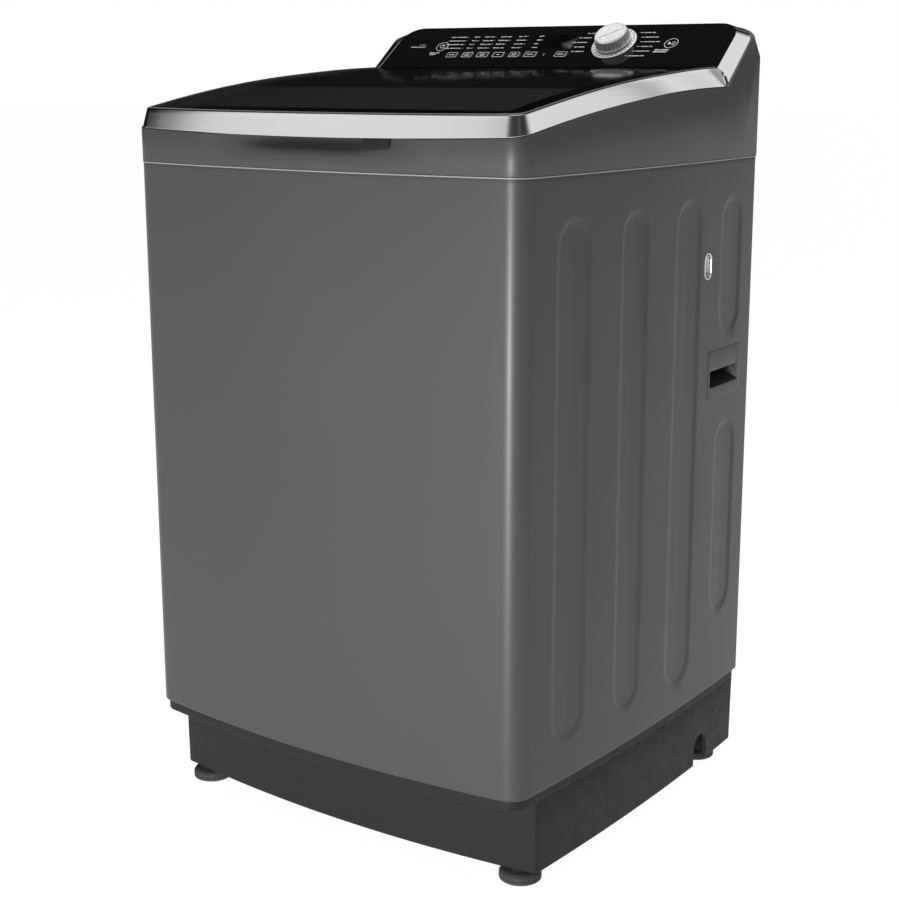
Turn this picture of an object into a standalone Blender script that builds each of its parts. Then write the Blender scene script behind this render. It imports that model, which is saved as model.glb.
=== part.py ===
"""Top load washing machine.

Metres, +Z up, origin at the middle of the footprint on the floor. The front faces -Y.
The cabinet is a bowed steel wrap on a plastic base. A plastic top cover carries the lid and
the sloping console. The tub hangs on four sprung rods and holds the basket, the pulsator and
the direct drive motor. The console is drawn in its own frame: x across, s up the slope from the
console's lower edge, n out of its face.
"""

import math

import bmesh
import bpy
from mathutils import Matrix, Vector

# ---------------------------------------------------------------- driving dimensions
HALF_WIDTH = 0.300  # at mid depth, where the sides bow out furthest
SIDE_BOW = 0.0105
Y_FRONT = -0.2934
Y_REAR = 0.2934
FRONT_BOW = 0.0231
CORNER_RADIUS = 0.028
SKIRT_RADIUS = 0.014
REAR_RADIUS = 0.010
GAP = 0.0004  # between pieces that meet

FOOT_HEIGHT = 0.018
RIM_BOTTOM = 0.111
CABINET_BOTTOM = 0.125
SEAM_Z = 0.840  # cabinet to top cover
SHEET = 0.002
SHELL_REAR = Y_REAR - 0.0020
WALL = 0.0026  # moulded covers
TOE_KICK = 0.0394
BASE_INSET = 0.0055
FOOT_SPOTS = {"front": (0.255, -0.210), "rear": (0.250, 0.245)}
FOOT_STUD = 0.008

# Side line of the top cover: heights above the seam, against y
COVER_PEAK = 0.0882
COVER_PEAK_Y = 0.200
COVER_FALL = 0.2166
BAND_HEIGHT = 0.0215
BAND_FRONT_EXTRA = 0.0045
LID_REAR = 0.1945
LID_GLASS_THICK = 0.004
LID_FRAME_THICK = 0.006
PIVOT = Vector((0.0, 0.1905, SEAM_Z + 0.1065))
BARREL_RADIUS = 0.0058

# Console face
FACE_SLOPE = math.radians(38.2)
FACE_ORIGIN = Vector((0.0, 0.1983, SEAM_Z + 0.113))
PANEL_HALF = 0.2735
PANEL_TOP = 0.0905
PANEL_RADIUS = 0.030
PANEL_THICK = 0.003
TRIM_DROP_LOW = 0.0116
TRIM_DROP_HIGH = 0.0070
TRIM_WIDTH = 0.0195
TRIM_TOP_WIDTH = 0.003
KNOB_X, KNOB_S = 0.098, 0.0505
KNOB_RADIUS = 0.0243
KNOB_HEIGHT = 0.0185
SCALE_RADIUS = 0.0318
KEY_SIZE = (0.0236, 0.0112)
KEY_S = 0.0290
KEY_PITCH = 0.0267
FIRST_KEY_X = -0.1592
LAST_KEY_X = 0.0240
ROUND_KEY_RADIUS = 0.0102
POWER_KEY = (-0.1865, 0.0480)
START_KEY = (0.1848, 0.0503)
DISPLAY_X = (-0.0200, 0.0340)
DISPLAY_S = (0.0400, 0.0710)

# Wash group
TUB_RADIUS = 0.258
TUB_BOTTOM = 0.248
TUB_TOP = 0.765
BASKET_RADIUS = 0.236
BASKET_BOTTOM = 0.272
BASKET_TOP = 0.735
MOUTH_RADIUS = 0.192
PULSATOR_RADIUS = 0.200
ROD_X, ROD_Y = 0.243, 0.228
ROD_RADIUS = 0.0045
LUG_Z = 0.330
SPRING_BOTTOM = 0.262
VALVE_SPOT = (0.150, 0.085)
HOSE_BOTTOM = 0.075
DUCT_RADIUS = 0.0145  # drain hose and outlet, outside

# Sides
HANDLE_Y = (0.1573, 0.2543)
HANDLE_Z = (0.533, 0.594)
HANDLE_DEPTH = 0.034
HANDLE_SLOPE = 0.0265
HOOK_Y, HOOK_Z = 0.1453, 0.707
HOOK_SIZE = (0.0165, 0.032)
GLAND_SPOT = (0.205, 0.690)
INLET_SPOT = (-0.180, SEAM_Z + 0.045)
ARCH_Y = (0.1638, 0.2033)
ARCH_TOP = 0.060

# Detergent drawer, in the rear wall of the loading mouth
DRAWER_X = (-0.150, -0.040)
DRAWER_Y = (0.108, 0.188)
DRAWER_Z = (SEAM_Z + 0.020, SEAM_Z + 0.062)


# ---------------------------------------------------------------- helpers
def clear_scene():
    for thing in list(bpy.data.objects):
        bpy.data.objects.remove(thing, do_unlink=True)


MATERIALS = {}


def material(name, colour, metallic=0.0, roughness=0.5):
    made = bpy.data.materials.new(name)
    made.use_nodes = True
    shader = made.node_tree.nodes["Principled BSDF"]
    shader.inputs["Base Color"].default_value = (*colour, 1.0)
    shader.inputs["Metallic"].default_value = metallic
    shader.inputs["Roughness"].default_value = roughness
    made.diffuse_color = (*colour, 1.0)
    MATERIALS[name] = made


def make_materials():
    material("grey_paint", (0.105, 0.105, 0.105), 0.4, 0.42)
    material("grey_plastic", (0.090, 0.090, 0.090), 0.0, 0.45)
    material("dark_plastic", (0.035, 0.035, 0.035), 0.0, 0.55)
    material("chrome", (0.72, 0.72, 0.72), 1.0, 0.18)
    material("tinted_glass", (0.015, 0.015, 0.015), 0.0, 0.06)
    material("gloss_black", (0.008, 0.008, 0.008), 0.0, 0.08)
    material("white_plastic", (0.62, 0.62, 0.62), 0.0, 0.4)
    material("steel", (0.55, 0.55, 0.55), 1.0, 0.3)
    material("rubber", (0.03, 0.03, 0.03), 0.0, 0.8)
    material("copper", (0.55, 0.25, 0.12), 1.0, 0.4)
    material("board_green", (0.02, 0.14, 0.05), 0.0, 0.5)


def add(name, bm, look=None, matrix=None):
    """A mesh object from bm, facing out. Without a look it is a cutter that the build leaves out."""
    bmesh.ops.remove_doubles(bm, verts=bm.verts, dist=1e-6)
    bmesh.ops.recalc_face_normals(bm, faces=bm.faces)
    mesh = bpy.data.meshes.new(name)
    bm.to_mesh(mesh)
    bm.free()
    thing = bpy.data.objects.new(name, mesh)
    bpy.context.scene.collection.objects.link(thing)
    if matrix is not None:
        thing.matrix_world = matrix
    if look is None:
        thing.hide_render = True
        thing.display_type = "WIRE"
    else:
        mesh.materials.append(MATERIALS[look])
        mesh.shade_smooth()
        mesh.set_sharp_from_angle(angle=math.radians(35))
    return thing


def boolean(thing, other, operation):
    """Other becomes a helper that joins, cuts or bounds the thing."""
    modifier = thing.modifiers.new(other.name, "BOOLEAN")
    modifier.object = other
    modifier.operation = operation
    modifier.solver = "EXACT"
    other.hide_render = True
    other.display_type = "WIRE"


def cut(thing, *others):
    for other in others:
        boolean(thing, other, "DIFFERENCE")


def join(thing, *others):
    for other in others:
        boolean(thing, other, "UNION")


def keep(thing, *others):
    for other in others:
        boolean(thing, other, "INTERSECT")


def loops_mesh(loops, closed=False):
    """A body skinned over loops of equal length, capped at both ends, or closed into a ring."""
    bm = bmesh.new()
    rows = [[bm.verts.new(point) for point in loop] for loop in loops]
    pairs = list(zip(rows, rows[1:]))
    if closed:
        pairs.append((rows[-1], rows[0]))
    else:
        bm.faces.new(rows[0])
        bm.faces.new(rows[-1])
    count = len(rows[0])
    for low, high in pairs:
        for i in range(count):
            j = (i + 1) % count
            bm.faces.new((low[i], low[j], high[j], high[i]))
    return bm


def prism(outline, low, high, axis=2):
    """The flat outline, given in the two other axes in X, Y, Z order, extruded along axis."""
    def place(point, level):
        spot = list(point)
        spot.insert(axis, level)
        return spot

    return loops_mesh([[place(p, low) for p in outline], [place(p, high) for p in outline]])


def box(low, high):
    outline = [(low[0], low[1]), (high[0], low[1]), (high[0], high[1]), (low[0], high[1])]
    return prism(outline, low[2], high[2])


def rounded_rectangle(low, high, radius, steps=4):
    points = []
    corners = ((high[0], high[1], 0), (low[0], high[1], 1), (low[0], low[1], 2), (high[0], low[1], 3))
    for x, y, quarter in corners:
        centre_x = x - radius if quarter in (0, 3) else x + radius
        centre_y = y - radius if quarter in (0, 1) else y + radius
        for step in range(steps + 1):
            angle = (quarter + step / steps) * math.pi / 2
            points.append((centre_x + radius * math.cos(angle), centre_y + radius * math.sin(angle)))
    return points


def circle(radius, steps, centre=(0.0, 0.0), stretch=1.0):
    turn = 2 * math.pi / steps
    return [
        (centre[0] + radius * math.cos(i * turn), centre[1] + stretch * radius * math.sin(i * turn))
        for i in range(steps)
    ]


def turned(profile, steps, centre=(0.0, 0.0)):
    """The (radius, z) profile turned about a vertical axis. It ends on the axis, or it is a closed ring."""
    on_axis = profile[0][0] == 0 and profile[-1][0] == 0
    bm = bmesh.new()
    rows = []
    for radius, z in profile:
        count = 1 if radius == 0 else steps
        ring = circle(radius, steps, centre)[:count]
        rows.append([bm.verts.new((x, y, z)) for x, y in ring])
    pairs = list(zip(rows, rows[1:]))
    if not on_axis:
        pairs.append((rows[-1], rows[0]))
    for low, high in pairs:
        for i in range(steps):
            j = (i + 1) % steps
            corners = (low[i % len(low)], low[j % len(low)], high[j % len(high)], high[i % len(high)])
            bm.faces.new(dict.fromkeys(corners))
    return bm


def plan(inset=0.0, front=Y_FRONT, rear=Y_REAR, level=0.0, corner=CORNER_RADIUS):
    """The cabinet's outline from above, moved inwards by inset: bowed front and sides, round corners."""
    half_x = HALF_WIDTH - SIDE_BOW
    half_y = (Y_REAR - Y_FRONT) / 2
    middle = (Y_REAR + Y_FRONT) / 2

    def front_y(x):
        return front + FRONT_BOW * (x / half_x) ** 2 + inset

    def side_x(y):
        return HALF_WIDTH - SIDE_BOW * ((y - middle) / half_y) ** 2 - inset

    radius = max(corner - inset, 0.004)
    rear_radius = max(REAR_RADIUS - inset, 0.003)
    corner_y = front_y(half_x - radius) + radius
    corner_x = side_x(corner_y) - radius
    corner_y = front_y(corner_x) + radius
    lean = math.atan(2 * FRONT_BOW * corner_x / half_x**2)
    flare = math.atan(2 * SIDE_BOW * (middle - corner_y) / half_y**2)
    right = [(corner_x * i / 6, front_y(corner_x * i / 6)) for i in range(6)]
    for i in range(7):
        angle = -math.pi / 2 + lean + (math.pi / 2 - lean - flare) * i / 6
        right.append((corner_x + radius * math.cos(angle), corner_y + radius * math.sin(angle)))
    rear_y = rear - inset - rear_radius
    for i in range(1, 7):
        y = corner_y + (rear_y - corner_y) * i / 6
        right.append((side_x(y), y))
    for i in range(1, 5):
        angle = math.pi / 2 * i / 4
        x = side_x(rear_y) - rear_radius * (1 - math.cos(angle))
        right.append((x, rear_y + rear_radius * math.sin(angle)))
    left = [(-x, y) for x, y in reversed(right[1:])]
    return [(x, y, level) for x, y in right + left]


def flat(points):
    return [(x, y) for x, y, _ in points]


def cover_height(y):
    """Top of the grey cover under the lid's band, above the seam."""
    return COVER_PEAK - COVER_FALL * (COVER_PEAK_Y - y) ** 2


def lid_height(y):
    """Top surface of the lid, above the seam."""
    nose = min(max((-0.235 - y) / 0.05, 0.0), 1.0)
    tail = min(max((y - 0.05) / 0.15, 0.0), 1.0)
    return cover_height(y) + BAND_HEIGHT + BAND_FRONT_EXTRA * nose**2 + 0.003 * tail


def stations(start, end, count):
    return [start + (end - start) * i / count for i in range(count + 1)]


FACE = Matrix.Translation(FACE_ORIGIN) @ Matrix.Rotation(FACE_SLOPE, 4, "X")


def face_point(s, n):
    """(y, z) of a point on the console's middle line, given up the slope and out of the face."""
    spot = FACE @ Vector((0.0, s, n))
    return spot.y, spot.z


def joint_empty(name, place, children):
    """Hangs the pieces of a moving body on an empty that stands on its joint's axis."""
    axis = bpy.data.objects.new(name, None)
    bpy.context.scene.collection.objects.link(axis)
    axis.matrix_world = Matrix.Translation(place)
    axis.empty_display_size = 0.03
    for child in children:
        child.parent = axis
        child.matrix_parent_inverse = Matrix.Translation(-Vector(place))


# ---------------------------------------------------------------- cabinet and base
def cabinet():
    lip = 0.014
    levels = [
        (0.0, CABINET_BOTTOM),
        (0.0, SEAM_Z - GAP),
        (lip, SEAM_Z - GAP),
        (lip, SEAM_Z - GAP - SHEET),
        (SHEET, SEAM_Z - GAP - SHEET),
        (SHEET, CABINET_BOTTOM + SHEET),
        (lip, CABINET_BOTTOM + SHEET),
        (lip, CABINET_BOTTOM),
    ]
    loops = [plan(inset, rear=SHELL_REAR, level=z) for inset, z in levels]
    shell = add("cabinet_shell", loops_mesh(loops, closed=True), "grey_paint")
    cut(shell, add("service_opening", box((-0.225, 0.26, 0.215), (0.225, 0.31, 0.700))))
    for side, name in ((1, "right"), (-1, "left")):
        low = (min(side * 0.27, side * 0.32), HANDLE_Y[0], HANDLE_Z[0])
        high = (max(side * 0.27, side * 0.32), HANDLE_Y[1], HANDLE_Z[1])
        cut(shell, add(f"handle_hole_{name}", box(low, high)))
        handle_pocket(side, name)
    slot = hook_outline(0.0)
    cut(shell, add("hook_hole", prism(slot, 0.27, 0.32, axis=0)))
    hose_hook()
    rear_panel()


def rear_panel():
    outline = rounded_rectangle((-0.245, 0.195), (0.245, 0.720), 0.012)
    panel = add("rear_panel", prism(outline, SHELL_REAR + GAP, Y_REAR - 0.0002, axis=1), "grey_paint")
    cut(panel, add("gland_hole", prism(circle(0.0085, 16, GLAND_SPOT), 0.27, 0.31, axis=1)))
    profile = [(0.0, 0.0), (0.008, 0.0), (0.008, 0.010), (0.0105, 0.0105), (0.0105, 0.013), (0.0, 0.013)]
    gland = add("cord_gland", turned(profile, 16), "rubber", from_back(GLAND_SPOT, Y_REAR - 0.0004))
    cut(gland, add("cord_bore", prism(circle(0.0036, 12, GLAND_SPOT), 0.27, 0.31, axis=1)))


def from_back(spot, y):
    """Places a turned piece, whose axis is Z, so that it points forward from y at spot in the back wall."""
    return Matrix.Translation((spot[0], y, spot[1])) @ Matrix.Rotation(math.pi / 2, 4, "X")


def handle_pocket(side, name):
    """A moulded cup let into the side wall: a floor that slopes up to its back, and a lip to lift by."""
    face_x = HALF_WIDTH - SIDE_BOW * 0.72
    wall, lip = 0.0025, 0.010
    back = HANDLE_DEPTH - wall
    low, high = HANDLE_Z[0] + GAP, HANDLE_Z[1] - GAP
    ceiling = high - wall
    lip_z = (low + high) / 2 + 0.004
    ends = (HANDLE_Y[0] + GAP, HANDLE_Y[1] - GAP)

    def block(title, outline, margin, look=None):
        section = [(side * (face_x - depth), z) for depth, z in outline]
        return add(title, prism(section, ends[0] + margin, ends[1] - margin, axis=1), look)

    cup = block(f"handle_pocket_{name}", [
        (HANDLE_DEPTH, low), (-0.010, low), (-0.010, high), (HANDLE_DEPTH, high),
    ], 0.0, "grey_plastic")
    keep(cup, add(f"handle_bound_{name}", prism(flat(plan(0.0005, rear=SHELL_REAR)), 0.4, 0.7)))
    cut(cup, block(f"handle_room_{name}", [
        (-0.030, low + wall), (0.0, low + wall), (back, low + HANDLE_SLOPE), (back, ceiling),
        (lip, ceiling), (lip, lip_z), (-0.030, lip_z),
    ], wall))


def hook_outline(inset):
    half_y, half_z = HOOK_SIZE[0] / 2 - inset, HOOK_SIZE[1] / 2 - inset
    low = (HOOK_Y - half_y, HOOK_Z - half_z)
    high = (HOOK_Y + half_y, HOOK_Z + half_z)
    return rounded_rectangle(low, high, half_y * 0.98, steps=5)


def hose_hook():
    """A keyhole eye in the right side that the drain hose's hook snaps into."""
    eye = add("hose_hook", prism(hook_outline(GAP), 0.280, 0.310, axis=0), "white_plastic")
    keep(eye, add("hook_bound", prism(flat(plan(0.0012, rear=SHELL_REAR)), 0.6, 0.8)))
    cut(eye, add("hook_eye", prism(hook_outline(0.0016), 0.2835, 0.32, axis=0)))


def base():
    skirt_front = Y_FRONT + TOE_KICK
    top = CABINET_BOTTOM - GAP

    def skirt(inset, level):
        return plan(BASE_INSET + inset, front=skirt_front, rear=SHELL_REAR, level=level, corner=SKIRT_RADIUS)

    def rim(inset, level):
        return plan(BASE_INSET + inset, rear=SHELL_REAR, level=level)

    loops = [
        skirt(0.0012, FOOT_HEIGHT),
        skirt(0.0002, RIM_BOTTOM - 0.0005),
        rim(0.0006, RIM_BOTTOM),
        rim(0.0, RIM_BOTTOM + 0.003),
        rim(0.0, top),
        skirt(0.020, top),
        skirt(0.020, top - 0.004),
        skirt(0.0046, top - 0.004),
        skirt(0.0070, FOOT_HEIGHT),
    ]
    frame = add("base_frame", loops_mesh(loops, closed=True), "dark_plastic")
    for x, y, name in foot_places():
        inner_x, inner_y = x - math.copysign(0.032, x), y - math.copysign(0.030, y)
        outer_x, outer_y = math.copysign(0.320, x), math.copysign(0.320, y)
        low = (min(inner_x, outer_x), min(inner_y, outer_y), FOOT_HEIGHT + 0.002)
        high = (max(inner_x, outer_x), max(inner_y, outer_y), top - 0.002)
        block = add(f"foot_block_{name}", box(low, high))
        keep(block, add(f"foot_bound_{name}", prism(flat(skirt(0.0040, 0.0)), 0.0, CABINET_BOTTOM)))
        join(frame, block)
        bore = circle(FOOT_STUD + GAP, 12, (x, y))
        cut(frame, add(f"foot_bore_{name}", prism(bore, 0.0, 0.075)))
    saddle = box((0.236, 0.1995, FOOT_HEIGHT + 0.003), (0.250, 0.220, 0.060))
    join(frame, add("outlet_saddle", saddle))
    half = (ARCH_Y[1] - ARCH_Y[0]) / 2
    middle = (ARCH_Y[1] + ARCH_Y[0]) / 2
    arch = [(ARCH_Y[0], 0.0), (ARCH_Y[1], 0.0)]
    spring = ARCH_TOP - half
    arch += [(middle + half * math.cos(a), spring + half * math.sin(a)) for a in stations(0, math.pi, 10)]
    cut(frame, add("drain_arch", prism(arch, 0.262, 0.32, axis=0)))


def foot_places():
    return [
        (side * x, y, f"{end}_{tag}")
        for end, (x, y) in FOOT_SPOTS.items()
        for side, tag in ((-1, "left"), (1, "right"))
    ]


def feet():
    for x, y, name in foot_places():
        profile = [
            (0.0, 0.0), (0.024, 0.0), (0.026, 0.002), (0.026, 0.009), (0.023, 0.013),
            (0.013, 0.015), (FOOT_STUD, 0.016), (FOOT_STUD, 0.066), (0.006, 0.068), (0.0, 0.068),
        ]
        foot = add(f"foot_{name}", turned(profile, 16, (x, y)), "rubber")
        if y < 0:
            joint_empty(f"axis_foot_{name}", (x, y, 0.0), [foot])


# ---------------------------------------------------------------- top cover
def seat_drop(s):
    """How far below the face the console's trim sits, up the slope."""
    share = min(max((s + 0.0257) / 0.1162, 0.0), 1.0)
    return TRIM_DROP_LOW + (TRIM_DROP_HIGH - TRIM_DROP_LOW) * share


def cover_profile(inset):
    """The cover seen from the side, as (y, z), moved inwards by inset."""
    below = SEAM_Z if inset == 0 else SEAM_Z - 0.02
    front = Y_FRONT - 0.01 if inset == 0 else Y_FRONT - 0.005
    points = [(front, below)]
    start = LID_REAR - 0.0062
    points += [(y, SEAM_Z + cover_height(y) - inset) for y in stations(front, start, 14)]
    lower = seat_drop(-0.0257) + GAP + inset
    upper = seat_drop(0.0905) + GAP + inset
    points.append(face_point(-0.018, -lower))
    shoulder = face_point(PANEL_TOP + 0.0015 - inset, -upper)
    points.append(shoulder)
    rear = Y_REAR + 0.002 - inset
    for share in (0.25, 0.5, 0.75, 1.0):
        angle = share * math.pi / 2
        y = shoulder[0] + (rear - shoulder[0]) * math.sin(angle)
        z = shoulder[1] - (shoulder[1] - SEAM_Z - 0.07) * (1 - math.cos(angle))
        points.append((y, z))
    points.append((rear, below))
    return points


def panel_edge(out_x=0.0, out_s=0.0, start=0.0015, count=5):
    """The console face's outline as (x, s), from its lower right corner over the top to its lower left."""
    half_top = PANEL_HALF - 0.002
    centre_x, centre_s = half_top - PANEL_RADIUS, PANEL_TOP - PANEL_RADIUS
    right = []
    for share in (0.0, 0.5, 1.0):
        s = start + (centre_s - start) * share
        right.append((PANEL_HALF + out_x - 0.002 * s / centre_s, s))
    for i in range(1, count + 1):
        angle = math.pi / 2 * i / count
        x = centre_x + (PANEL_RADIUS + out_x) * math.cos(angle)
        right.append((x, centre_s + (PANEL_RADIUS + out_s) * math.sin(angle)))
    return right + [(-x, s) for x, s in reversed(right)]


def cover_body(name, inset, look=None):
    """The cover's outer form, or its hollow: the side profile within the plan and the console's shoulders."""
    body = add(name, prism(cover_profile(inset), -0.31, 0.31, axis=0), look)
    keep(body, add(f"{name}_plan", prism(flat(plan(inset)), 0.78, 1.05)))
    shoulders = panel_edge(0.026 - inset, TRIM_TOP_WIDTH + 0.0006 - inset, start=0.030)
    shoulders += [(-0.33, -0.02), (-0.33, -0.60), (0.33, -0.60), (0.33, -0.02)]
    keep(body, add(f"{name}_shoulders", prism(shoulders, -0.45, 0.45), None, FACE))
    return body


def mouth_loft(name, grow, low, high):
    """The loading mouth: an oval at the deck that narrows to a round at the seam."""
    loops = []
    for z in (low, high):
        share = (z - SEAM_Z) / 0.09
        centre_y = -0.014 - 0.036 * share
        radius_x = MOUTH_RADIUS + 0.014 * share + grow
        radius_y = 0.176 - 0.004 * share + grow
        outline = circle(radius_x, 32, (0.0, centre_y), radius_y / radius_x)
        loops.append([(x, y, z) for x, y in outline])
    return add(name, loops_mesh(loops))


def top_cover():
    cover = cover_body("top_cover", 0.0, "grey_plastic")
    hollow = cover_body("cover_hollow", WALL)
    scoop_low, scoop_high = (-0.156, -0.31, SEAM_Z + 0.017), (0.182, -0.2795, SEAM_Z + 0.06)
    block_low = (scoop_low[0] - WALL, scoop_low[1], scoop_low[2] - WALL)
    block_high = (scoop_high[0] + WALL, scoop_high[1] + WALL, scoop_high[2])
    cut(hollow, mouth_loft("collar_form", WALL, 0.80, 1.00), add("scoop_block", box(block_low, block_high)))
    cut(cover, hollow, mouth_loft("mouth_form", 0.0, 0.78, 1.02))
    cut(cover, add("finger_scoop", box(scoop_low, scoop_high)))
    opening = rounded_rectangle((-0.235, 0.014), (0.235, 0.070), 0.008)
    cut(cover, add("console_opening", prism(opening, -0.030, 0.010), None, FACE))
    room_low = (DRAWER_X[0] - 0.0065, 0.040, DRAWER_Z[0] - 0.0055)
    room_high = (DRAWER_X[1] + 0.0065, 0.202, DRAWER_Z[1] + 0.0065)
    cut(cover, add("drawer_room", box(room_low, room_high)))
    cut(cover, add("inlet_hole", prism(circle(0.0150, 16, INLET_SPOT), 0.262, 0.32, axis=1)))
    for side in (-1, 1):
        x = side * 0.200
        outline = [(PIVOT.y - 0.0045, SEAM_Z + 0.087), (PIVOT.y + 0.0045, SEAM_Z + 0.087)]
        outline += [
            (PIVOT.y + 0.0045 * math.cos(a), PIVOT.z + 0.0045 * math.sin(a)) for a in stations(0, math.pi, 8)
        ]
        tag = "right" if side > 0 else "left"
        join(cover, add(f"hinge_ear_{tag}", prism(outline, x - 0.006, x + 0.006, axis=0)))
        bore = prism(circle(0.0024, 12, (PIVOT.y, PIVOT.z)), x - 0.010, x + 0.010, axis=0)
        cut(cover, add(f"hinge_bore_{tag}", bore))


# ---------------------------------------------------------------- lid
def lean(y):
    """How far the lid's band leans inwards from bottom to top edge."""
    share = min(max((y + 0.27) / 0.46, 0.0), 1.0)
    return 0.008 + 0.011 * share**1.3


def lid_edge(offset, level=0.0):
    """The outline of the band's top edge, moved inwards by offset."""
    points = []
    for x, y, _ in plan(0.008 + offset):
        extra = (lean(y) - 0.008) * min(1.0, abs(x) / 0.2)
        points.append((x - math.copysign(extra, x), y, level))
    return points


def front_run(loop):
    """The part of a plan outline from the left side round the front to the right side."""
    right = loop[:19]
    return [(-x, y, z) for x, y, z in reversed(right[1:])] + right


def lid_slab(name, top, bottom, rear, look=None):
    """A curved plate under the lid's top surface, from top to bottom below it, as wide as the scene needs."""
    ys = stations(Y_FRONT - 0.004, rear, 16)
    profile = [(y, SEAM_Z + lid_height(y) - top) for y in ys]
    profile += [(y, SEAM_Z + lid_height(y) - bottom) for y in reversed(ys)]
    return add(name, prism(profile, -0.31, 0.31, axis=0), look)


def lid():
    rim = 0.0008
    bottom_out, bottom_in = front_run(plan(rim)), front_run(plan(rim + 0.003))
    top_out, top_in = front_run(lid_edge(0.0)), front_run(lid_edge(0.003))
    sections = []
    for low_out, high_out, high_in, low_in in zip(bottom_out, top_out, top_in, bottom_in):
        sections.append([
            (low_out[0], low_out[1], SEAM_Z + cover_height(low_out[1]) + rim),
            (high_out[0], high_out[1], SEAM_Z + lid_height(high_out[1])),
            (high_in[0], high_in[1], SEAM_Z + lid_height(high_in[1])),
            (low_in[0], low_in[1], SEAM_Z + cover_height(low_in[1]) + rim),
        ])
    trim = add("lid_trim", loops_mesh(sections), "chrome")
    behind = [
        (LID_REAR - 0.0075, SEAM_Z + 0.070), (LID_REAR - 0.0075, SEAM_Z + 0.0885),
        (LID_REAR, PIVOT.z), (LID_REAR, SEAM_Z + 0.14), (0.33, SEAM_Z + 0.14), (0.33, SEAM_Z + 0.070),
    ]
    cut(trim, add("trim_end", prism(behind, -0.31, 0.31, axis=0)))

    glass = lid_slab("lid_glass", 0.0, LID_GLASS_THICK, PIVOT.y - BARREL_RADIUS - 0.0012, "tinted_glass")
    keep(glass, add("glass_edge", prism(flat(lid_edge(0.0034)), 0.80, 1.05)))

    frame_top = LID_GLASS_THICK + GAP
    frame_bottom = frame_top + LID_FRAME_THICK
    frame = lid_slab("lid_inner_frame", frame_top, frame_bottom, PIVOT.y - 0.002, "dark_plastic")
    keep(frame, add("frame_edge", prism(flat(lid_edge(0.0038)), 0.80, 1.05)))
    window = rounded_rectangle((-0.205, -0.222), (0.205, 0.118), 0.035, steps=5)
    cut(frame, add("window_hole", prism(window, 0.80, 1.05)))
    barrel = prism(circle(BARREL_RADIUS, 16, (PIVOT.y, PIVOT.z)), -0.262, 0.262, axis=0)
    join(frame, add("hinge_barrel", barrel))
    pieces = [trim, glass, frame]
    for side, tag in ((-1, "left"), (1, "right")):
        x = side * 0.200
        notch = box((x - 0.0068, 0.176, 0.90), (x + 0.0068, 0.21, 1.00))
        bore = prism(circle(0.0024, 12, (PIVOT.y, PIVOT.z)), x - 0.0165, x + 0.0165, axis=0)
        cut(frame, add(f"ear_notch_{tag}", notch), add(f"pin_bore_{tag}", bore))
        pin = prism(circle(0.0020, 12, (PIVOT.y, PIVOT.z)), x - 0.016, x + 0.016, axis=0)
        pieces.append(add(f"hinge_pin_{tag}", pin, "steel"))
    tab_line = [(-0.2856, 0.0265), (-0.2832, 0.0265), (-0.2762, 0.0520), (-0.2786, 0.0520)]
    tab_outline = [(y, SEAM_Z + z) for y, z in tab_line]
    tab = add("lid_tab", prism(tab_outline, 0.084, 0.123, axis=0), "dark_plastic")
    pieces.append(tab)
    joint_empty("axis_lid_hinge", PIVOT, pieces)


# ---------------------------------------------------------------- console
def on_face(name, bm, look=None, x=0.0, s=0.0):
    """A piece of the console, made about its own middle and placed on the face."""
    return add(name, bm, look, FACE @ Matrix.Translation((x, s, 0.0)))


def function_keys():
    """Name, x and s of the row of rectangular keys."""
    spots = [(FIRST_KEY_X + i * KEY_PITCH, KEY_S) for i in range(6)] + [(LAST_KEY_X, KEY_S)]
    return [(f"function_key_{i + 1}", x, s) for i, (x, s) in enumerate(spots)]


def console():
    outline = panel_edge(-GAP, -GAP)
    panel = on_face("console_panel", prism(outline, -GAP - PANEL_THICK, -GAP), "gloss_black")
    skirt = box((-PANEL_HALF + 0.003, 0.0015, -0.0108), (PANEL_HALF - 0.003, 0.0045, -0.0020))
    join(panel, on_face("panel_skirt", skirt))
    trim()

    window = rounded_rectangle((DISPLAY_X[0], DISPLAY_S[0]), (DISPLAY_X[1], DISPLAY_S[1]), 0.002, steps=2)
    cut(panel, on_face("display_hole", prism(window, -0.010, 0.004)))
    low, high = zip(DISPLAY_X, DISPLAY_S)
    pane = rounded_rectangle([v + GAP for v in low], [v - GAP for v in high], 0.002, steps=2)
    on_face("display_window", prism(pane, -GAP - PANEL_THICK, -GAP), "tinted_glass")

    shaft_hole = 0.0052
    cut(panel, on_face("knob_hole", prism(circle(shaft_hole, 12), -0.010, 0.004), None, KNOB_X, KNOB_S))
    ring = [(SCALE_RADIUS, 0.0), (SCALE_RADIUS - 0.0006, 0.0011), (shaft_hole, 0.0011), (shaft_hole, 0.0)]
    on_face("knob_scale_ring", turned(ring, 28), "white_plastic", KNOB_X, KNOB_S)
    knob_profile = [
        (0.0, -0.0160), (0.0044, -0.0160), (0.0044, 0.0020),
        (KNOB_RADIUS, 0.0020), (KNOB_RADIUS + 0.0008, 0.0040),
        (KNOB_RADIUS - 0.0012, KNOB_HEIGHT - 0.0025), (KNOB_RADIUS - 0.0040, KNOB_HEIGHT), (0.0, KNOB_HEIGHT),
    ]
    knob = on_face("knob", turned(knob_profile, 28), "white_plastic", KNOB_X, KNOB_S)
    joint_empty("axis_knob", FACE @ Vector((KNOB_X, KNOB_S, 0.0)), [knob])

    for name, x, s in function_keys():
        push_key(panel, name, x, s, bar_shape)
    for name, (x, s) in (("power_key", POWER_KEY), ("start_key", START_KEY)):
        push_key(panel, name, x, s, round_shape)
    control_board()


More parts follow.
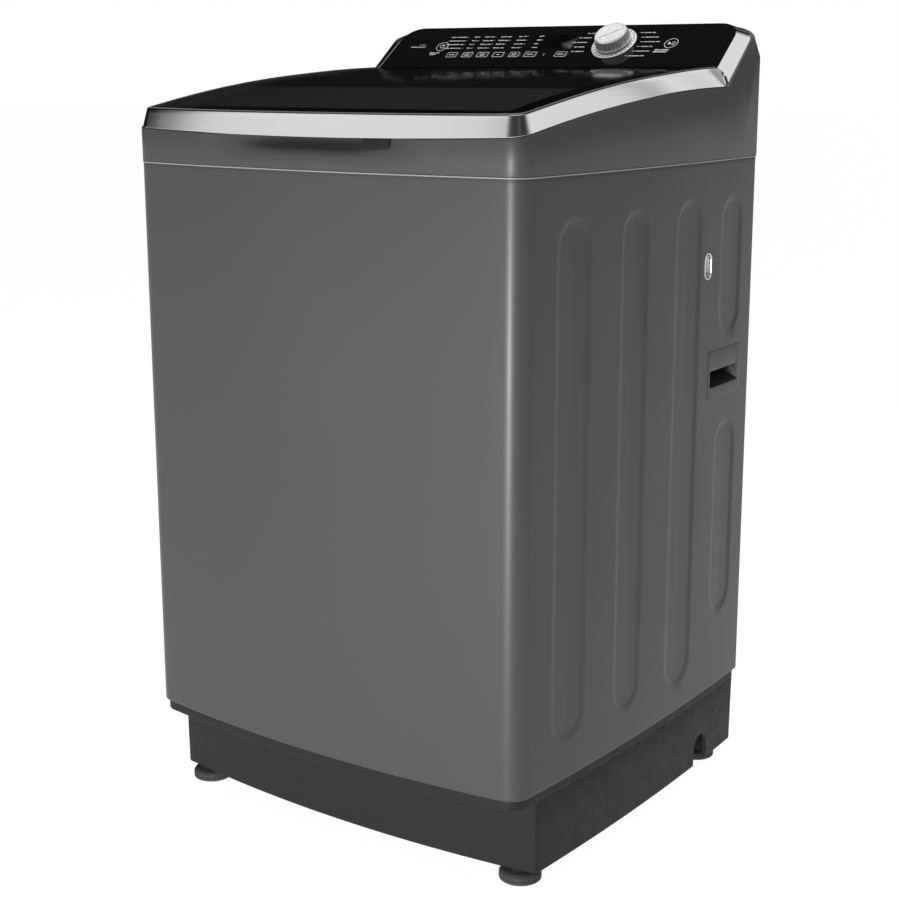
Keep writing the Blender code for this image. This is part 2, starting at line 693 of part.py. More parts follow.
def bar_shape(grow):
    half_x, half_s = KEY_SIZE[0] / 2 + grow, KEY_SIZE[1] / 2 + grow
    return rounded_rectangle((-half_x, -half_s), (half_x, half_s), 0.0012, 1)


def round_shape(grow):
    return circle(ROUND_KEY_RADIUS + grow, 20)


def push_key(panel, name, x, s, shape):
    """A flush key with a flange under the panel that stops it at rest."""
    cut(panel, on_face(f"{name}_hole", prism(shape(0.0004), -0.010, 0.004), None, x, s))
    loops = []
    for grow, n in ((0.0012, -0.0078), (0.0012, -0.0048), (0.0, -0.0048), (0.0, -GAP)):
        loops.append([(px, ps, n) for px, ps in shape(grow)])
    key = on_face(name, loops_mesh(loops), "gloss_black", x, s)
    joint_empty(f"axis_{name}", FACE @ Vector((x, s, 0.0)), [key])


def trim():
    """The chrome strip that carries the lid's band on up the console's sides and thinly over its top."""
    inner = panel_edge(0.0, 0.0, start=0.0)
    outer = panel_edge(TRIM_WIDTH, TRIM_TOP_WIDTH, start=-0.030)
    sections = []
    for (x, s), (out_x, out_s) in zip(inner, outer):
        drop = seat_drop(out_s)
        foot = x + math.copysign(0.0012, x)
        sections.append([(x, s, 0.0), (out_x, out_s, -drop), (foot, s, -seat_drop(s))])
    strip = on_face("console_trim", loops_mesh(sections), "chrome")
    keep(strip, add("strip_bound", prism(flat(plan(0.0006)), 0.80, 1.05)))
    front = [
        (0.10, SEAM_Z + 0.060), (LID_REAR - 0.0062, SEAM_Z + 0.070), (LID_REAR - 0.0062, SEAM_Z + 0.0885),
        (LID_REAR + 0.0014, PIVOT.z), (LID_REAR + 0.0050, SEAM_Z + 0.14), (0.10, SEAM_Z + 0.14),
    ]
    cut(strip, add("strip_front", prism(front, -0.31, 0.31, axis=0)))
    sweep = circle(0.0088, 24, (PIVOT.y, PIVOT.z))
    cut(strip, add("strip_sweep", prism(sweep, -0.31, 0.31, axis=0)))


def control_board():
    board = on_face("control_board", box((-0.205, 0.018, -0.0245), (0.210, 0.066, -0.0225)), "board_green")
    blocks = [("encoder", KNOB_X - 0.008, KNOB_S - 0.008, KNOB_X + 0.008, KNOB_S + 0.008, -0.0168)]
    blocks.append(("lamp_block", -0.020, 0.046, 0.034, 0.064, -0.0120))
    for name, x, s in function_keys() + [("power_key", *POWER_KEY), ("start_key", *START_KEY)]:
        blocks.append((f"{name}_switch", x - 0.003, s - 0.003, x + 0.003, s + 0.003, -0.0098))
    for name, low_x, low_s, high_x, high_s, top in blocks:
        join(board, on_face(name, box((low_x, low_s, -0.0230), (high_x, high_s, top))))


# ---------------------------------------------------------------- water and detergent
def detergent():
    low = (DRAWER_X[0] - 0.006, DRAWER_Y[0] + 0.006, DRAWER_Z[0] - 0.005)
    high = (DRAWER_X[1] + 0.006, DRAWER_Y[1] + 0.012, DRAWER_Z[1] + 0.006)
    wall = 0.0022
    case = add("detergent_case", box(low, high), "grey_plastic")
    hollow_low = (low[0] + wall, low[1] - 0.02, low[2] + wall)
    hollow_high = (high[0] - wall, high[1] - wall, high[2] - wall)
    cut(case, add("case_hollow", box(hollow_low, hollow_high)))

    body_low = (DRAWER_X[0], DRAWER_Y[0], DRAWER_Z[0])
    body_high = (DRAWER_X[1], DRAWER_Y[1], DRAWER_Z[1])
    drawer = add("detergent_drawer", box(body_low, body_high), "grey_plastic")
    face_low = (DRAWER_X[0] - 0.0045, DRAWER_Y[0] - 0.004, DRAWER_Z[0] - 0.0035)
    face_high = (DRAWER_X[1] + 0.0045, DRAWER_Y[0] + 0.001, DRAWER_Z[1] + 0.0045)
    join(drawer, add("drawer_face", box(face_low, face_high)))
    cup_low = (DRAWER_X[0] + wall, DRAWER_Y[0] + wall, DRAWER_Z[0] + wall)
    cup_high = (DRAWER_X[1] - wall, DRAWER_Y[1] - wall, DRAWER_Z[1] + 0.02)
    cut(drawer, add("drawer_cup", box(cup_low, cup_high)))
    joint_empty("axis_detergent_drawer", (sum(DRAWER_X) / 2, DRAWER_Y[0], sum(DRAWER_Z) / 2), [drawer])


def inlet():
    profile = [
        (0.0, 0.012), (0.0060, 0.012), (0.0060, 0.0), (0.0125, 0.0), (0.0125, 0.018), (0.0105, 0.020),
        (0.0105, 0.030), (0.0175, 0.030), (0.0175, 0.052), (0.0, 0.052),
    ]
    add("inlet_valve", turned(profile, 16), "white_plastic", from_back(INLET_SPOT, Y_REAR - 0.0015))


# ---------------------------------------------------------------- tub, basket and drive
def shell_profile(points, wall):
    """A wall of even thickness inside a rising outer (radius, z) line."""
    inner = []
    for i, (radius, z) in enumerate(points):
        before = Vector(points[max(i - 1, 0)])
        after = Vector(points[min(i + 1, len(points) - 1)])
        along = (after - before).normalized()
        inner.append((max(radius - wall * along.y, 0.0), z + wall * along.x))
    return points + inner[::-1]


def tub():
    hole = 0.052
    outer = [
        (hole, TUB_BOTTOM), (0.200, TUB_BOTTOM), (0.238, TUB_BOTTOM + 0.010),
        (TUB_RADIUS - 0.006, TUB_BOTTOM + 0.040), (TUB_RADIUS, TUB_TOP),
    ]
    wall = shell_profile(outer, 0.003)
    body = add("outer_tub", turned(wall, 36), "white_plastic")
    for x, y, tag in rod_places():
        lug = rounded_rectangle((-0.022, -0.022), (0.105, 0.022), 0.010, 2)
        angle = math.atan2(-y, -x)
        place = Matrix.Translation((x, y, LUG_Z)) @ Matrix.Rotation(angle, 4, "Z")
        arm = add(f"lug_{tag}", prism(lug, 0.0, 0.012), None, place)
        cut(arm, add(f"lug_clear_{tag}", prism(circle(TUB_RADIUS - 0.0095, 36), 0.20, 0.60)))
        join(body, arm)
        cut(body, add(f"lug_bore_{tag}", prism(circle(ROD_RADIUS + 0.0012, 12, (x, y)), 0.29, 0.38)))
    cut(body, add("valve_bore", prism(circle(0.0170, 16, VALVE_SPOT), 0.22, 0.27)))

    rim = [
        (0.2015, TUB_TOP + 0.004), (0.2015, TUB_TOP + 0.020), (0.205, TUB_TOP + 0.023),
        (TUB_RADIUS - 0.006, TUB_TOP + 0.014), (TUB_RADIUS + 0.002, TUB_TOP + 0.010),
        (TUB_RADIUS + 0.002, TUB_TOP - 0.012), (TUB_RADIUS + GAP, TUB_TOP - 0.012),
        (TUB_RADIUS + GAP, TUB_TOP + GAP), (0.2045, TUB_TOP + 0.004),
    ]
    add("tub_cover", turned(rim, 36), "white_plastic")

    housing = [
        (0.0130, 0.176), (0.030, 0.176), (0.036, 0.182), (0.042, 0.215), (0.095, 0.226),
        (0.100, TUB_BOTTOM - GAP), (0.0515, TUB_BOTTOM - GAP), (0.0505, 0.262), (0.0130, 0.262),
    ]
    add("clutch_housing", turned(housing, 20), "steel")
    stator = [(0.0475, 0.186), (0.105, 0.186), (0.105, 0.212), (0.0475, 0.212)]
    add("motor_stator", turned(stator, 20), "copper")

    valve = [
        (0.0, 0.212), (0.020, 0.212), (0.020, 0.2455), (0.0158, 0.2458), (0.0158, 0.2520), (0.0, 0.2520),
    ]
    body = add("drain_valve", turned(valve, 16, VALVE_SPOT), "grey_plastic")
    cut(body, add("valve_duct", prism(circle(0.0115, 16, VALVE_SPOT), 0.20, 0.26)))


def rod_places():
    return (
        (-ROD_X, -ROD_Y, "front_left"),
        (ROD_X, -ROD_Y, "front_right"),
        (-ROD_X, ROD_Y, "rear_left"),
        (ROD_X, ROD_Y, "rear_right"),
    )


def suspension():
    for x, y, tag in rod_places():
        low = SPRING_BOTTOM - 0.012
        top = SEAM_Z - 0.006
        profile = [
            (0.0, low), (0.0165, low), (0.0180, low + 0.003),
            (0.0180, SPRING_BOTTOM - GAP), (ROD_RADIUS, SPRING_BOTTOM - GAP),
            (ROD_RADIUS, top - 0.022), (0.011, top - 0.012), (0.011, top), (0.0, top),
        ]
        add(f"suspension_rod_{tag}", turned(profile, 12, (x, y)), "steel")
        spring(f"suspension_spring_{tag}", x, y)


def spring(name, x, y):
    """A coil that stands between the rod's seat and the underside of the tub's lug."""
    wire, coil_radius, turns, per_turn = 0.0019, 0.0130, 4, 8
    low = SPRING_BOTTOM + wire + GAP
    rise = LUG_Z - GAP - wire - low
    curve = bpy.data.curves.new(name, "CURVE")
    curve.dimensions = "3D"
    curve.bevel_depth = wire
    curve.bevel_resolution = 1
    curve.use_fill_caps = True
    line = curve.splines.new("POLY")
    count = turns * per_turn + 1
    line.points.add(count - 1)
    for i in range(count):
        angle = 2 * math.pi * i / per_turn
        spot_x, spot_y = x + coil_radius * math.cos(angle), y + coil_radius * math.sin(angle)
        line.points[i].co = (spot_x, spot_y, low + rise * i / (count - 1), 1.0)
    coil = bpy.data.objects.new(name, curve)
    curve.materials.append(MATERIALS["steel"])
    bpy.context.scene.collection.objects.link(coil)


def drain_hose():
    """A bellows from the drain valve on the tub down to the elbow that leads to the arch in the base."""
    low, high, folds = HOSE_BOTTOM, 0.212 - GAP, 6
    outer = []
    for i in range(2 * folds + 1):
        radius = DUCT_RADIUS + (0.004 if i % 2 else 0.0)
        outer.append((radius, low + (high - low) * i / (2 * folds)))
    inner = [(radius - 0.0022, z) for radius, z in reversed(outer)]
    add("drain_hose", turned(outer + inner, 12, VALVE_SPOT), "rubber")


def duct(start_z, end_x, radius):
    """A bent pipe that drops from start_z under the drain valve, then runs out to end_x in the side."""
    x, y = VALVE_SPOT
    run = Vector((end_x - x, (ARCH_Y[0] + ARCH_Y[1]) / 2 - y, 0.0))
    along = run.normalized()
    bend, floor = 0.026, 0.040
    path = [(Vector((x, y, start_z)), Vector((0, 0, -1)))]
    for angle in stations(0.0, math.pi / 2, 4):
        spot = Vector((x, y, floor + bend)) + along * bend * (1 - math.cos(angle))
        spot.z -= bend * math.sin(angle)
        path.append((spot, along * math.sin(angle) - Vector((0, 0, math.cos(angle)))))
    path.append((Vector((x, y, floor)) + run, along))
    across = Vector((-along.y, along.x, 0.0))
    loops = []
    for spot, heading in path:
        up = heading.cross(across)
        loops.append([spot + across * a + up * b for a, b in circle(radius, 12)])
    return loops_mesh(loops)


def drain_outlet():
    elbow = add("drain_outlet", duct(HOSE_BOTTOM - GAP, 0.262, DUCT_RADIUS), "rubber")
    cut(elbow, add("outlet_bore", duct(HOSE_BOTTOM + 0.02, 0.290, DUCT_RADIUS - 0.0025)))


def wash_basket():
    hub = 0.0460
    outer = [
        (hub, BASKET_BOTTOM), (0.190, BASKET_BOTTOM), (0.222, BASKET_BOTTOM + 0.012),
        (BASKET_RADIUS, BASKET_BOTTOM + 0.035), (BASKET_RADIUS, BASKET_TOP),
    ]
    add("basket", turned(shell_profile(outer, 0.002), 36), "steel")
    ring = [
        (0.2055, BASKET_TOP + 0.022), (0.2010, BASKET_TOP + 0.014),
        (0.2010, BASKET_TOP - 0.030), (0.2060, BASKET_TOP - 0.036),
        (BASKET_RADIUS - 0.0026, BASKET_TOP - 0.036), (BASKET_RADIUS - 0.0026, BASKET_TOP + GAP),
        (BASKET_RADIUS + 0.004, BASKET_TOP + GAP), (BASKET_RADIUS + 0.004, BASKET_TOP + 0.012),
        (0.230, BASKET_TOP + 0.020), (0.215, BASKET_TOP + 0.0245),
    ]
    add("balance_ring", turned(ring, 36), "white_plastic")
    for side, tag in ((-1, "left"), (1, "right")):
        outline = rounded_rectangle((-0.052, 0.430), (0.052, 0.640), 0.014, 3)
        depth = sorted((side * 0.205, side * 0.235))
        body = add(f"lint_filter_{tag}", prism(outline, *depth, axis=0), "grey_plastic")
        keep(body, add(f"filter_bound_{tag}", prism(circle(BASKET_RADIUS - 0.0045, 36), 0.40, 0.70)))
        pocket = rounded_rectangle((-0.040, 0.452), (0.040, 0.618), 0.010, 3)
        hollow = sorted((side * 0.19, side * 0.215))
        cut(body, add(f"filter_pocket_{tag}", prism(pocket, *hollow, axis=0)))


def agitator():
    disc = [
        (0.0, 0.286), (0.1900, 0.286), (PULSATOR_RADIUS, 0.292), (PULSATOR_RADIUS, 0.297), (0.185, 0.301),
        (0.120, 0.297), (0.060, 0.306), (0.040, 0.330), (0.024, 0.337), (0.0, 0.338),
    ]
    body = add("pulsator", turned(disc, 30), "white_plastic")
    for i in range(6):
        outline = [(0.030, 0.292), (0.188, 0.292), (0.182, 0.306), (0.120, 0.318), (0.060, 0.330)]
        vane = prism(outline, -0.006, 0.006, axis=1)
        turn = Matrix.Rotation(i * math.pi / 3, 4, "Z")
        join(body, add(f"vane_{i + 1}", vane, None, turn))
    cut(body, add("shaft_socket", prism(circle(0.0104, 16), 0.27, 0.318)))
    shaft = [(0.0, 0.160), (0.0100, 0.160), (0.0100, 0.316), (0.0, 0.316)]
    add("wash_shaft", turned(shaft, 16), "steel")
    cup = [
        (0.0104, 0.163), (0.118, 0.163), (0.124, 0.168), (0.124, 0.208), (0.112, 0.208), (0.112, 0.1735),
        (0.0104, 0.1735),
    ]
    add("rotor", turned(cup, 24), "steel")


def wash_group_axes():
    """One axis empty for each of the tub, the basket and the pulsator."""
    groups = (
        ("tub_sink", TUB_TOP, "outer_tub tub_cover clutch_housing motor_stator drain_valve"),
        ("basket_spin", BASKET_TOP, "basket balance_ring lint_filter_left lint_filter_right"),
        ("pulsator_turn", 0.290, "pulsator wash_shaft rotor"),
    )
    for name, level, children in groups:
        pieces = [bpy.data.objects[child] for child in children.split()]
        joint_empty(f"axis_{name}", (0.0, 0.0, level), pieces)


clear_scene()
make_materials()
cabinet()
base()
feet()
top_cover()
lid()
console()
detergent()
inlet()
tub()
suspension()
drain_hose()
drain_outlet()
wash_basket()
agitator()
wash_group_axes()
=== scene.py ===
"""Looks of the top load washing machine: fine meshes, materials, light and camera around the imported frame.

Metres, +Z up, the front faces -Y. Each section makes one sub-part. The console is drawn in its own frame:
x across, s up the slope from the console's lower edge, n out of its face.
"""

from math import atan, atan2, copysign, cos, hypot, pi, radians, sin, sqrt

import bmesh
import bpy
from mathutils import Matrix, Vector

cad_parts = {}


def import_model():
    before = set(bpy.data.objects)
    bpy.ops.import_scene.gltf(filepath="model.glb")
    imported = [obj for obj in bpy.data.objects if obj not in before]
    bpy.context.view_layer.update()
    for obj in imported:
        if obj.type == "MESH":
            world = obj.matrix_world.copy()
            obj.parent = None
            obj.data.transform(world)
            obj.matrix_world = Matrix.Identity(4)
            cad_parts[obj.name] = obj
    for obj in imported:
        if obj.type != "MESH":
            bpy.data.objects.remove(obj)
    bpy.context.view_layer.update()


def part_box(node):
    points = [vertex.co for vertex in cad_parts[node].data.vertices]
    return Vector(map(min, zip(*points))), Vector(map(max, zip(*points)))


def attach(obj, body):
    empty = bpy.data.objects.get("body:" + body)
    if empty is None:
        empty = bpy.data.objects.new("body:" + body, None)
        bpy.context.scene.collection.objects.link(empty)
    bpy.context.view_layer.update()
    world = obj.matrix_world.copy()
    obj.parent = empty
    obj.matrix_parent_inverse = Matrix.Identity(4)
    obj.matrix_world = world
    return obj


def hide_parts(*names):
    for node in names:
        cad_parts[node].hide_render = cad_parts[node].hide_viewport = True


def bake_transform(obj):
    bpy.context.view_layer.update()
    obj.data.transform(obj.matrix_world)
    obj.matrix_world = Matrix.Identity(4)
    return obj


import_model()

# ---- dimensions shared with the frame
GAP = 0.0004
HALF_WIDTH = 0.3
SIDE_BOW = 0.0105
Y_FRONT = -0.2934
Y_REAR = 0.2934
FRONT_BOW = 0.0231
CORNER_RADIUS = 0.028
SKIRT_RADIUS = 0.014
REAR_RADIUS = 0.01
FOOT_HEIGHT = 0.018
RIM_BOTTOM = 0.111
CABINET_BOTTOM = 0.125
SEAM_Z = 0.84
SHELL_REAR = 0.2914
WALL = 0.0026
TOE_KICK = 0.0394
BASE_INSET = 0.0055
FOOT_SPOTS = {"front": (0.255, -0.21), "rear": (0.25, 0.245)}
SIDES = ((-1, "left"), (1, "right"))

COVER_PEAK = 0.0882
COVER_PEAK_Y = 0.2
COVER_FALL = 0.2166
BAND_HEIGHT = 0.0215
BAND_FRONT_EXTRA = 0.0045
LID_REAR = 0.1945
LID_GLASS_THICK = 0.004
LID_FRAME_THICK = 0.006
PIVOT = Vector((0.0, 0.1905, SEAM_Z + 0.1065))
BARREL_RADIUS = 0.0058
PIN_RADIUS, PIN_BORE = 0.002, 0.0024
PIN_X = 0.2

FACE_ORIGIN = Vector((0.0, 0.1983, SEAM_Z + 0.113))
FACE = Matrix.Translation(FACE_ORIGIN) @ Matrix.Rotation(radians(38.2), 4, "X")
PANEL_HALF = 0.2735
PANEL_TOP = 0.0905
PANEL_RADIUS = 0.03
PANEL_THICK = 0.003
TRIM_DROP_LOW, TRIM_DROP_HIGH = 0.0116, 0.007
TRIM_WIDTH, TRIM_TOP_WIDTH = 0.0195, 0.003
KNOB_X, KNOB_S = 0.098, 0.0505
KNOB_RADIUS = 0.0243
KNOB_HEIGHT = 0.0185
FLUTE_DEPTH = 0.0011
SCALE_RADIUS = 0.0318
KEY_SIZE = (0.0236, 0.0112)
KEY_S, KEY_PITCH = 0.029, 0.0267
FIRST_KEY_X, LAST_KEY_X = -0.1592, 0.024
ROUND_KEY_RADIUS = 0.0102
POWER_KEY = (-0.1865, 0.048)
START_KEY = (0.1848, 0.0503)
DISPLAY_X, DISPLAY_S = (-0.02, 0.034), (0.04, 0.071)

HANDLE_Y, HANDLE_Z = (0.1573, 0.2543), (0.533, 0.594)
HANDLE_DEPTH = 0.034
HOOK_Y, HOOK_Z = 0.1453, 0.707
HOOK_SIZE = (0.0165, 0.032)
HOOK_HOLE = (0.0062, 0.0132)
ARCH_Y, ARCH_TOP = (0.1638, 0.2033), 0.06
SERVICE_X, SERVICE_Z = 0.225, (0.215, 0.7)
INLET_SPOT = (-0.18, SEAM_Z + 0.045)
MOUTH_RADIUS = 0.192


# ---- material kit
class Nodes:
    """Short calls for a node tree."""

    def __init__(self, tree):
        self.nodes, self.links = tree.nodes, tree.links

    def feed(self, socket, value):
        """Links an output to the socket, or sets it to a plain value."""
        if isinstance(value, bpy.types.NodeSocket):
            self.links.new(value, socket)
        else:
            socket.default_value = value

    def node(self, kind, output, inputs=None, **settings):
        """The named output of a new node."""
        node = self.nodes.new(f"ShaderNode{kind}")
        for name, value in settings.items():
            setattr(node, name, value)
        for name, value in (inputs or {}).items():
            self.feed(node.inputs[name], value)
        return node.outputs[output]

    def split(self, vector):
        node = self.nodes.new("ShaderNodeSeparateXYZ")
        self.feed(node.inputs["Vector"], vector)
        return node.outputs

    def math(self, operation, *values):
        return self.node("Math", "Value", dict(enumerate(values)), operation=operation)

    def mapped(self, value, low, high, to_low, to_high, **settings):
        """Maps low..high to to_low..to_high, and holds the ends."""
        ends = {"From Min": low, "From Max": high, "To Min": to_low, "To Max": to_high}
        return self.node("MapRange", "Result", {"Value": value, **ends}, **settings)


class Look(Nodes):
    """A Principled material whose detail is noise in the object's own coordinates.

    tint is (scale, detail, most, colour), for a second colour mixed in by up to most.
    rough is (scale, detail, low, high), for the roughness.
    relief is (scale, detail, distance, strength), for the bump.
    Each may end with a stretch of the coordinates, for grain that runs one way.
    """

    def __init__(self, name, colour, roughness=0.5, metallic=0.0, tint=None, rough=None, relief=None,
                 **sockets):
        self.material = bpy.data.materials.new(name)
        self.material.use_nodes = True
        super().__init__(self.material.node_tree)
        self.sockets = self.nodes["Principled BSDF"].inputs
        self.sockets["Base Color"].default_value = (*colour, 1.0)
        self.sockets["Roughness"].default_value = roughness
        self.sockets["Metallic"].default_value = metallic
        for socket, value in sockets.items():
            self.sockets[socket.replace("_", " ")].default_value = value
        self.place = self.node("TexCoord", "Object")
        if tint:
            scale, detail, most, other, *stretch = tint
            self.mix_in(self.spread(self.noise(scale, detail, *stretch), 0.0, most), other)
        if rough:
            scale, detail, low, high, *stretch = rough
            self.feed(self.sockets["Roughness"], self.spread(self.noise(scale, detail, *stretch), low, high))
        if relief:
            scale, detail, distance, strength, *stretch = relief
            height = self.noise(scale, detail, *stretch)
            bump = self.node("Bump", "Normal", {"Strength": strength, "Distance": distance, "Height": height})
            self.feed(self.sockets["Normal"], bump)

    def noise(self, scale, detail, stretch=None):
        place = self.place
        if stretch:
            place = self.node("Mapping", "Vector", {"Scale": stretch, "Vector": place})
        return self.node("TexNoise", "Fac", {"Scale": scale, "Detail": detail, "Vector": place})

    def spread(self, noise, low, high):
        """Maps the usual range of noise to low..high."""
        return self.mapped(noise, 0.25, 0.75, low, high)

    def mix_in(self, share, other):
        """Mixes the base colour so far towards another."""
        base = self.sockets["Base Color"]
        before = base.links[0].from_socket if base.links else base.default_value[:]
        mixed = {"A": before, "B": (*other, 1.0), "Factor": share}
        self.feed(base, self.node("Mix", "Result", mixed, data_type="RGBA"))


def grey(level):
    return (level, level, level * 1.015)


def darker(colour, share):
    return tuple(c * share for c in colour)


def lid_glass():
    """Smoked glass with an opaque black print round its clear window, whose front part is painted lighter as
    a painted reflection.
    """
    look = Look("smoked_glass", (0.001, 0.001, 0.0012), 0.12, rough=(16.0, 4.0, 0.11, 0.14),
                relief=(7.0, 1.0, 0.00008, 0.25), IOR=1.5, Specular_IOR_Level=0.02)
    x, y, _ = look.split(look.place)
    side = look.math("SMOOTH_MIN", look.math("SUBTRACT", 0.252, look.math("ABSOLUTE", x)), 1.0, 0.002)
    front, rear = look.math("SUBTRACT", y, -0.24), look.math("SUBTRACT", 0.118, y)
    depth = look.math("MINIMUM", side, look.math("MINIMUM", front, rear))
    window = look.mapped(depth, 0.0, 0.0012, 0.0, 1.0)
    # The window's front part is mixed lighter: a painted reflection in the glass.
    painted_reflection = look.mapped(y, -0.1, -0.108, 0.0, 1.0)
    look.mix_in(window, (0.0022, 0.0022, 0.0024))
    look.mix_in(look.math("MULTIPLY", window, painted_reflection), (0.012, 0.012, 0.0124))
    look.feed(look.sockets["Transmission Weight"], look.math("MULTIPLY", window, 0.45))
    return look


def printed(name, level):
    return Look(name, (level,) * 3, 0.45, tint=(900.0, 2.0, 0.35, (level * 0.8,) * 3))


def plain_plastic(name, tone, roughness=0.45, colour=None):
    base = colour or grey(tone)
    return Look(name, base, roughness, tint=(24.0, 4.0, 0.4, darker(base, 0.88)),
                rough=(70.0, 3.0, roughness - 0.05, roughness + 0.08), relief=(1100.0, 3.0, 0.00006, 0.35))


def brushed(name, tone, roughness, stretch):
    grain = (90.0, 4.0)
    return Look(name, grey(tone), roughness, 1.0, tint=(*grain, 0.35, grey(tone * 0.82), stretch),
                rough=(*grain, roughness - 0.07, roughness + 0.08, stretch),
                relief=(*grain, 0.00004, 0.35, stretch))


WINDING = (1.0, 1.0, 8.0)
LOOKS = dict(
    paint=Look("painted_steel", grey(0.052), 0.4, 0.35, (2600.0, 1.0, 0.3, grey(0.074)),
               (9.0, 3.0, 0.37, 0.43), (420.0, 2.0, 0.00004, 0.35),
               Specular_IOR_Level=0.2, Coat_Weight=0.05, Coat_Roughness=0.22),
    cover=Look("cover_plastic", grey(0.046), 0.42, 0.3, (2600.0, 1.0, 0.28, grey(0.064)),
               (14.0, 3.0, 0.4, 0.47), (900.0, 2.0, 0.00004, 0.3),
               Specular_IOR_Level=0.3, Coat_Weight=0.08, Coat_Roughness=0.28),
    dark=Look("dark_plastic", grey(0.0095), 0.55, 0.0, (30.0, 4.0, 0.5, grey(0.0125)), (60.0, 3.0, 0.5, 0.62),
              (1500.0, 3.0, 0.0001, 0.55), Specular_IOR_Level=0.2),
    chrome=Look("satin_chrome", (0.8, 0.8, 0.805), 0.13, 1.0, rough=(35.0, 4.0, 0.1, 0.17, (1.0, 1.0, 14.0)),
                relief=(240.0, 2.0, 0.00002, 0.1)),
    glass=lid_glass(),
    black=Look("gloss_black", (0.0026, 0.0026, 0.0029), 0.09, rough=(22.0, 4.0, 0.07, 0.12),
               relief=(300.0, 2.0, 0.00002, 0.1), Coat_Weight=0.5, Coat_Roughness=0.04),
    display=Look("display_glass", (0.0014, 0.0014, 0.0017), 0.05, rough=(40.0, 3.0, 0.04, 0.08),
                 Coat_Weight=1.0, Coat_Roughness=0.02),
    silver=Look("silver_plastic", (0.56, 0.56, 0.565), 0.26, 0.4, rough=(55.0, 3.0, 0.2, 0.3),
                relief=(700.0, 2.0, 0.00003, 0.2), Coat_Weight=0.3, Coat_Roughness=0.12),
    print=printed("white_print", 0.4),
    faint=printed("grey_print", 0.16),
    dots=printed("black_print", 0.012),
    tub=plain_plastic("tub_plastic", 0.52),
    white=plain_plastic("white_plastic", 0.66, 0.36),
    bluish=plain_plastic("filter_plastic", 0.4, 0.4, (0.36, 0.42, 0.5)),
    steel=brushed("bare_steel", 0.52, 0.3, (1.0, 1.0, 6.0)),
    drum=brushed("drum_steel", 0.62, 0.24, (1.0, 1.0, 0.06)),
    cast=brushed("cast_metal", 0.42, 0.48, (1.0, 1.0, 1.0)),
    rubber=Look("black_rubber", grey(0.022), 0.75, 0.0, (45.0, 5.0, 0.6, grey(0.032)),
                (120.0, 3.0, 0.66, 0.84), (1300.0, 4.0, 0.00012, 0.6)),
    winding=Look("winding", (0.38, 0.13, 0.045), 0.38, 0.6, (260.0, 3.0, 0.6, (0.2, 0.06, 0.02), WINDING),
                 relief=(260.0, 3.0, 0.0003, 0.6, WINDING)),
    board=Look("circuit_board", (0.015, 0.115, 0.04), 0.42, 0.0, (320.0, 5.0, 0.5, (0.03, 0.17, 0.07)),
               relief=(500.0, 2.0, 0.00008, 0.4), Coat_Weight=0.3),
    valve=plain_plastic("valve_plastic", 0.24),
    # A grey for the lip round the glass: a painted highlight along the glass edge.
    lip=plain_plastic("lip_highlight_plastic", 0.1),
    # A grey lighter than the cabinet's paint, for the ring on its top edge: a painted highlight along the
    # seam.
    hem=plain_plastic("hem_painted_highlight", 0.2, 0.34),
)


# ---- mesh kit
def stations(start, end, count):
    return [start + (end - start) * i / count for i in range(count + 1)]


def circle(radius, steps, centre=(0.0, 0.0), stretch=1.0):
    turn = 2 * pi / steps
    return [
        (centre[0] + radius * cos(i * turn), centre[1] + stretch * radius * sin(i * turn))
        for i in range(steps)
    ]


def rounded_rectangle(low, high, radius, steps=6):
    points = []
    corners = ((high[0], high[1], 0), (low[0], high[1], 1), (low[0], low[1], 2), (high[0], low[1], 3))
    for x, y, quarter in corners:
        centre_x = x - radius if quarter in (0, 3) else x + radius
        centre_y = y - radius if quarter in (0, 1) else y + radius
        turn = quarter * pi / 2
        points += arc((centre_x, centre_y), radius, turn, turn + pi / 2, steps)
    return points


def arc(centre, radius, start, end, count):
    return [(centre[0] + radius * cos(a), centre[1] + radius * sin(a)) for a in stations(start, end, count)]


def shifted(points, x, y):
    return [(px + x, py + y) for px, py in points]


def skin(bm, rows):
    """Faces between neighbouring rings of vertices, of which any may be a single point."""
    count = max(len(row) for row in rows)
    for low, high in zip(rows, rows[1:]):
        for i in range(count):
            j = (i + 1) % count
            corners = (low[i % len(low)], low[j % len(low)], high[j % len(high)], high[i % len(high)])
            bm.faces.new(dict.fromkeys(corners))


def loops_mesh(loops, closed=False, bm=None):
    """A body skinned over loops of equal length, capped at both ends, or closed into a ring."""
    bm = bm or bmesh.new()
    rows = [[bm.verts.new(point) for point in loop] for loop in loops]
    if closed:
        rows.append(rows[0])
    else:
        bm.faces.new(rows[0])
        bm.faces.new(rows[-1])
    skin(bm, rows)
    return bm


def prism(outline, low, high, axis=2, bm=None):
    """The flat outline, given in the two other axes in X, Y, Z order, extruded along axis."""
    def place(point, level):
        spot = list(point)
        spot.insert(axis, level)
        return spot

    return loops_mesh([[place(p, low) for p in outline], [place(p, high) for p in outline]], bm=bm)


def side_prism(profile):
    """The side profile, as (y, z), extruded wider than the machine."""
    return prism(profile, -0.31, 0.31, axis=0)


def sided(side, *distances):
    """The distances on the given side of the middle, in rising order."""
    return sorted(side * distance for distance in distances)


def box(low, high, bm=None):
    outline = [(low[0], low[1]), (high[0], low[1]), (high[0], high[1]), (low[0], high[1])]
    return prism(outline, low[2], high[2], bm=bm)


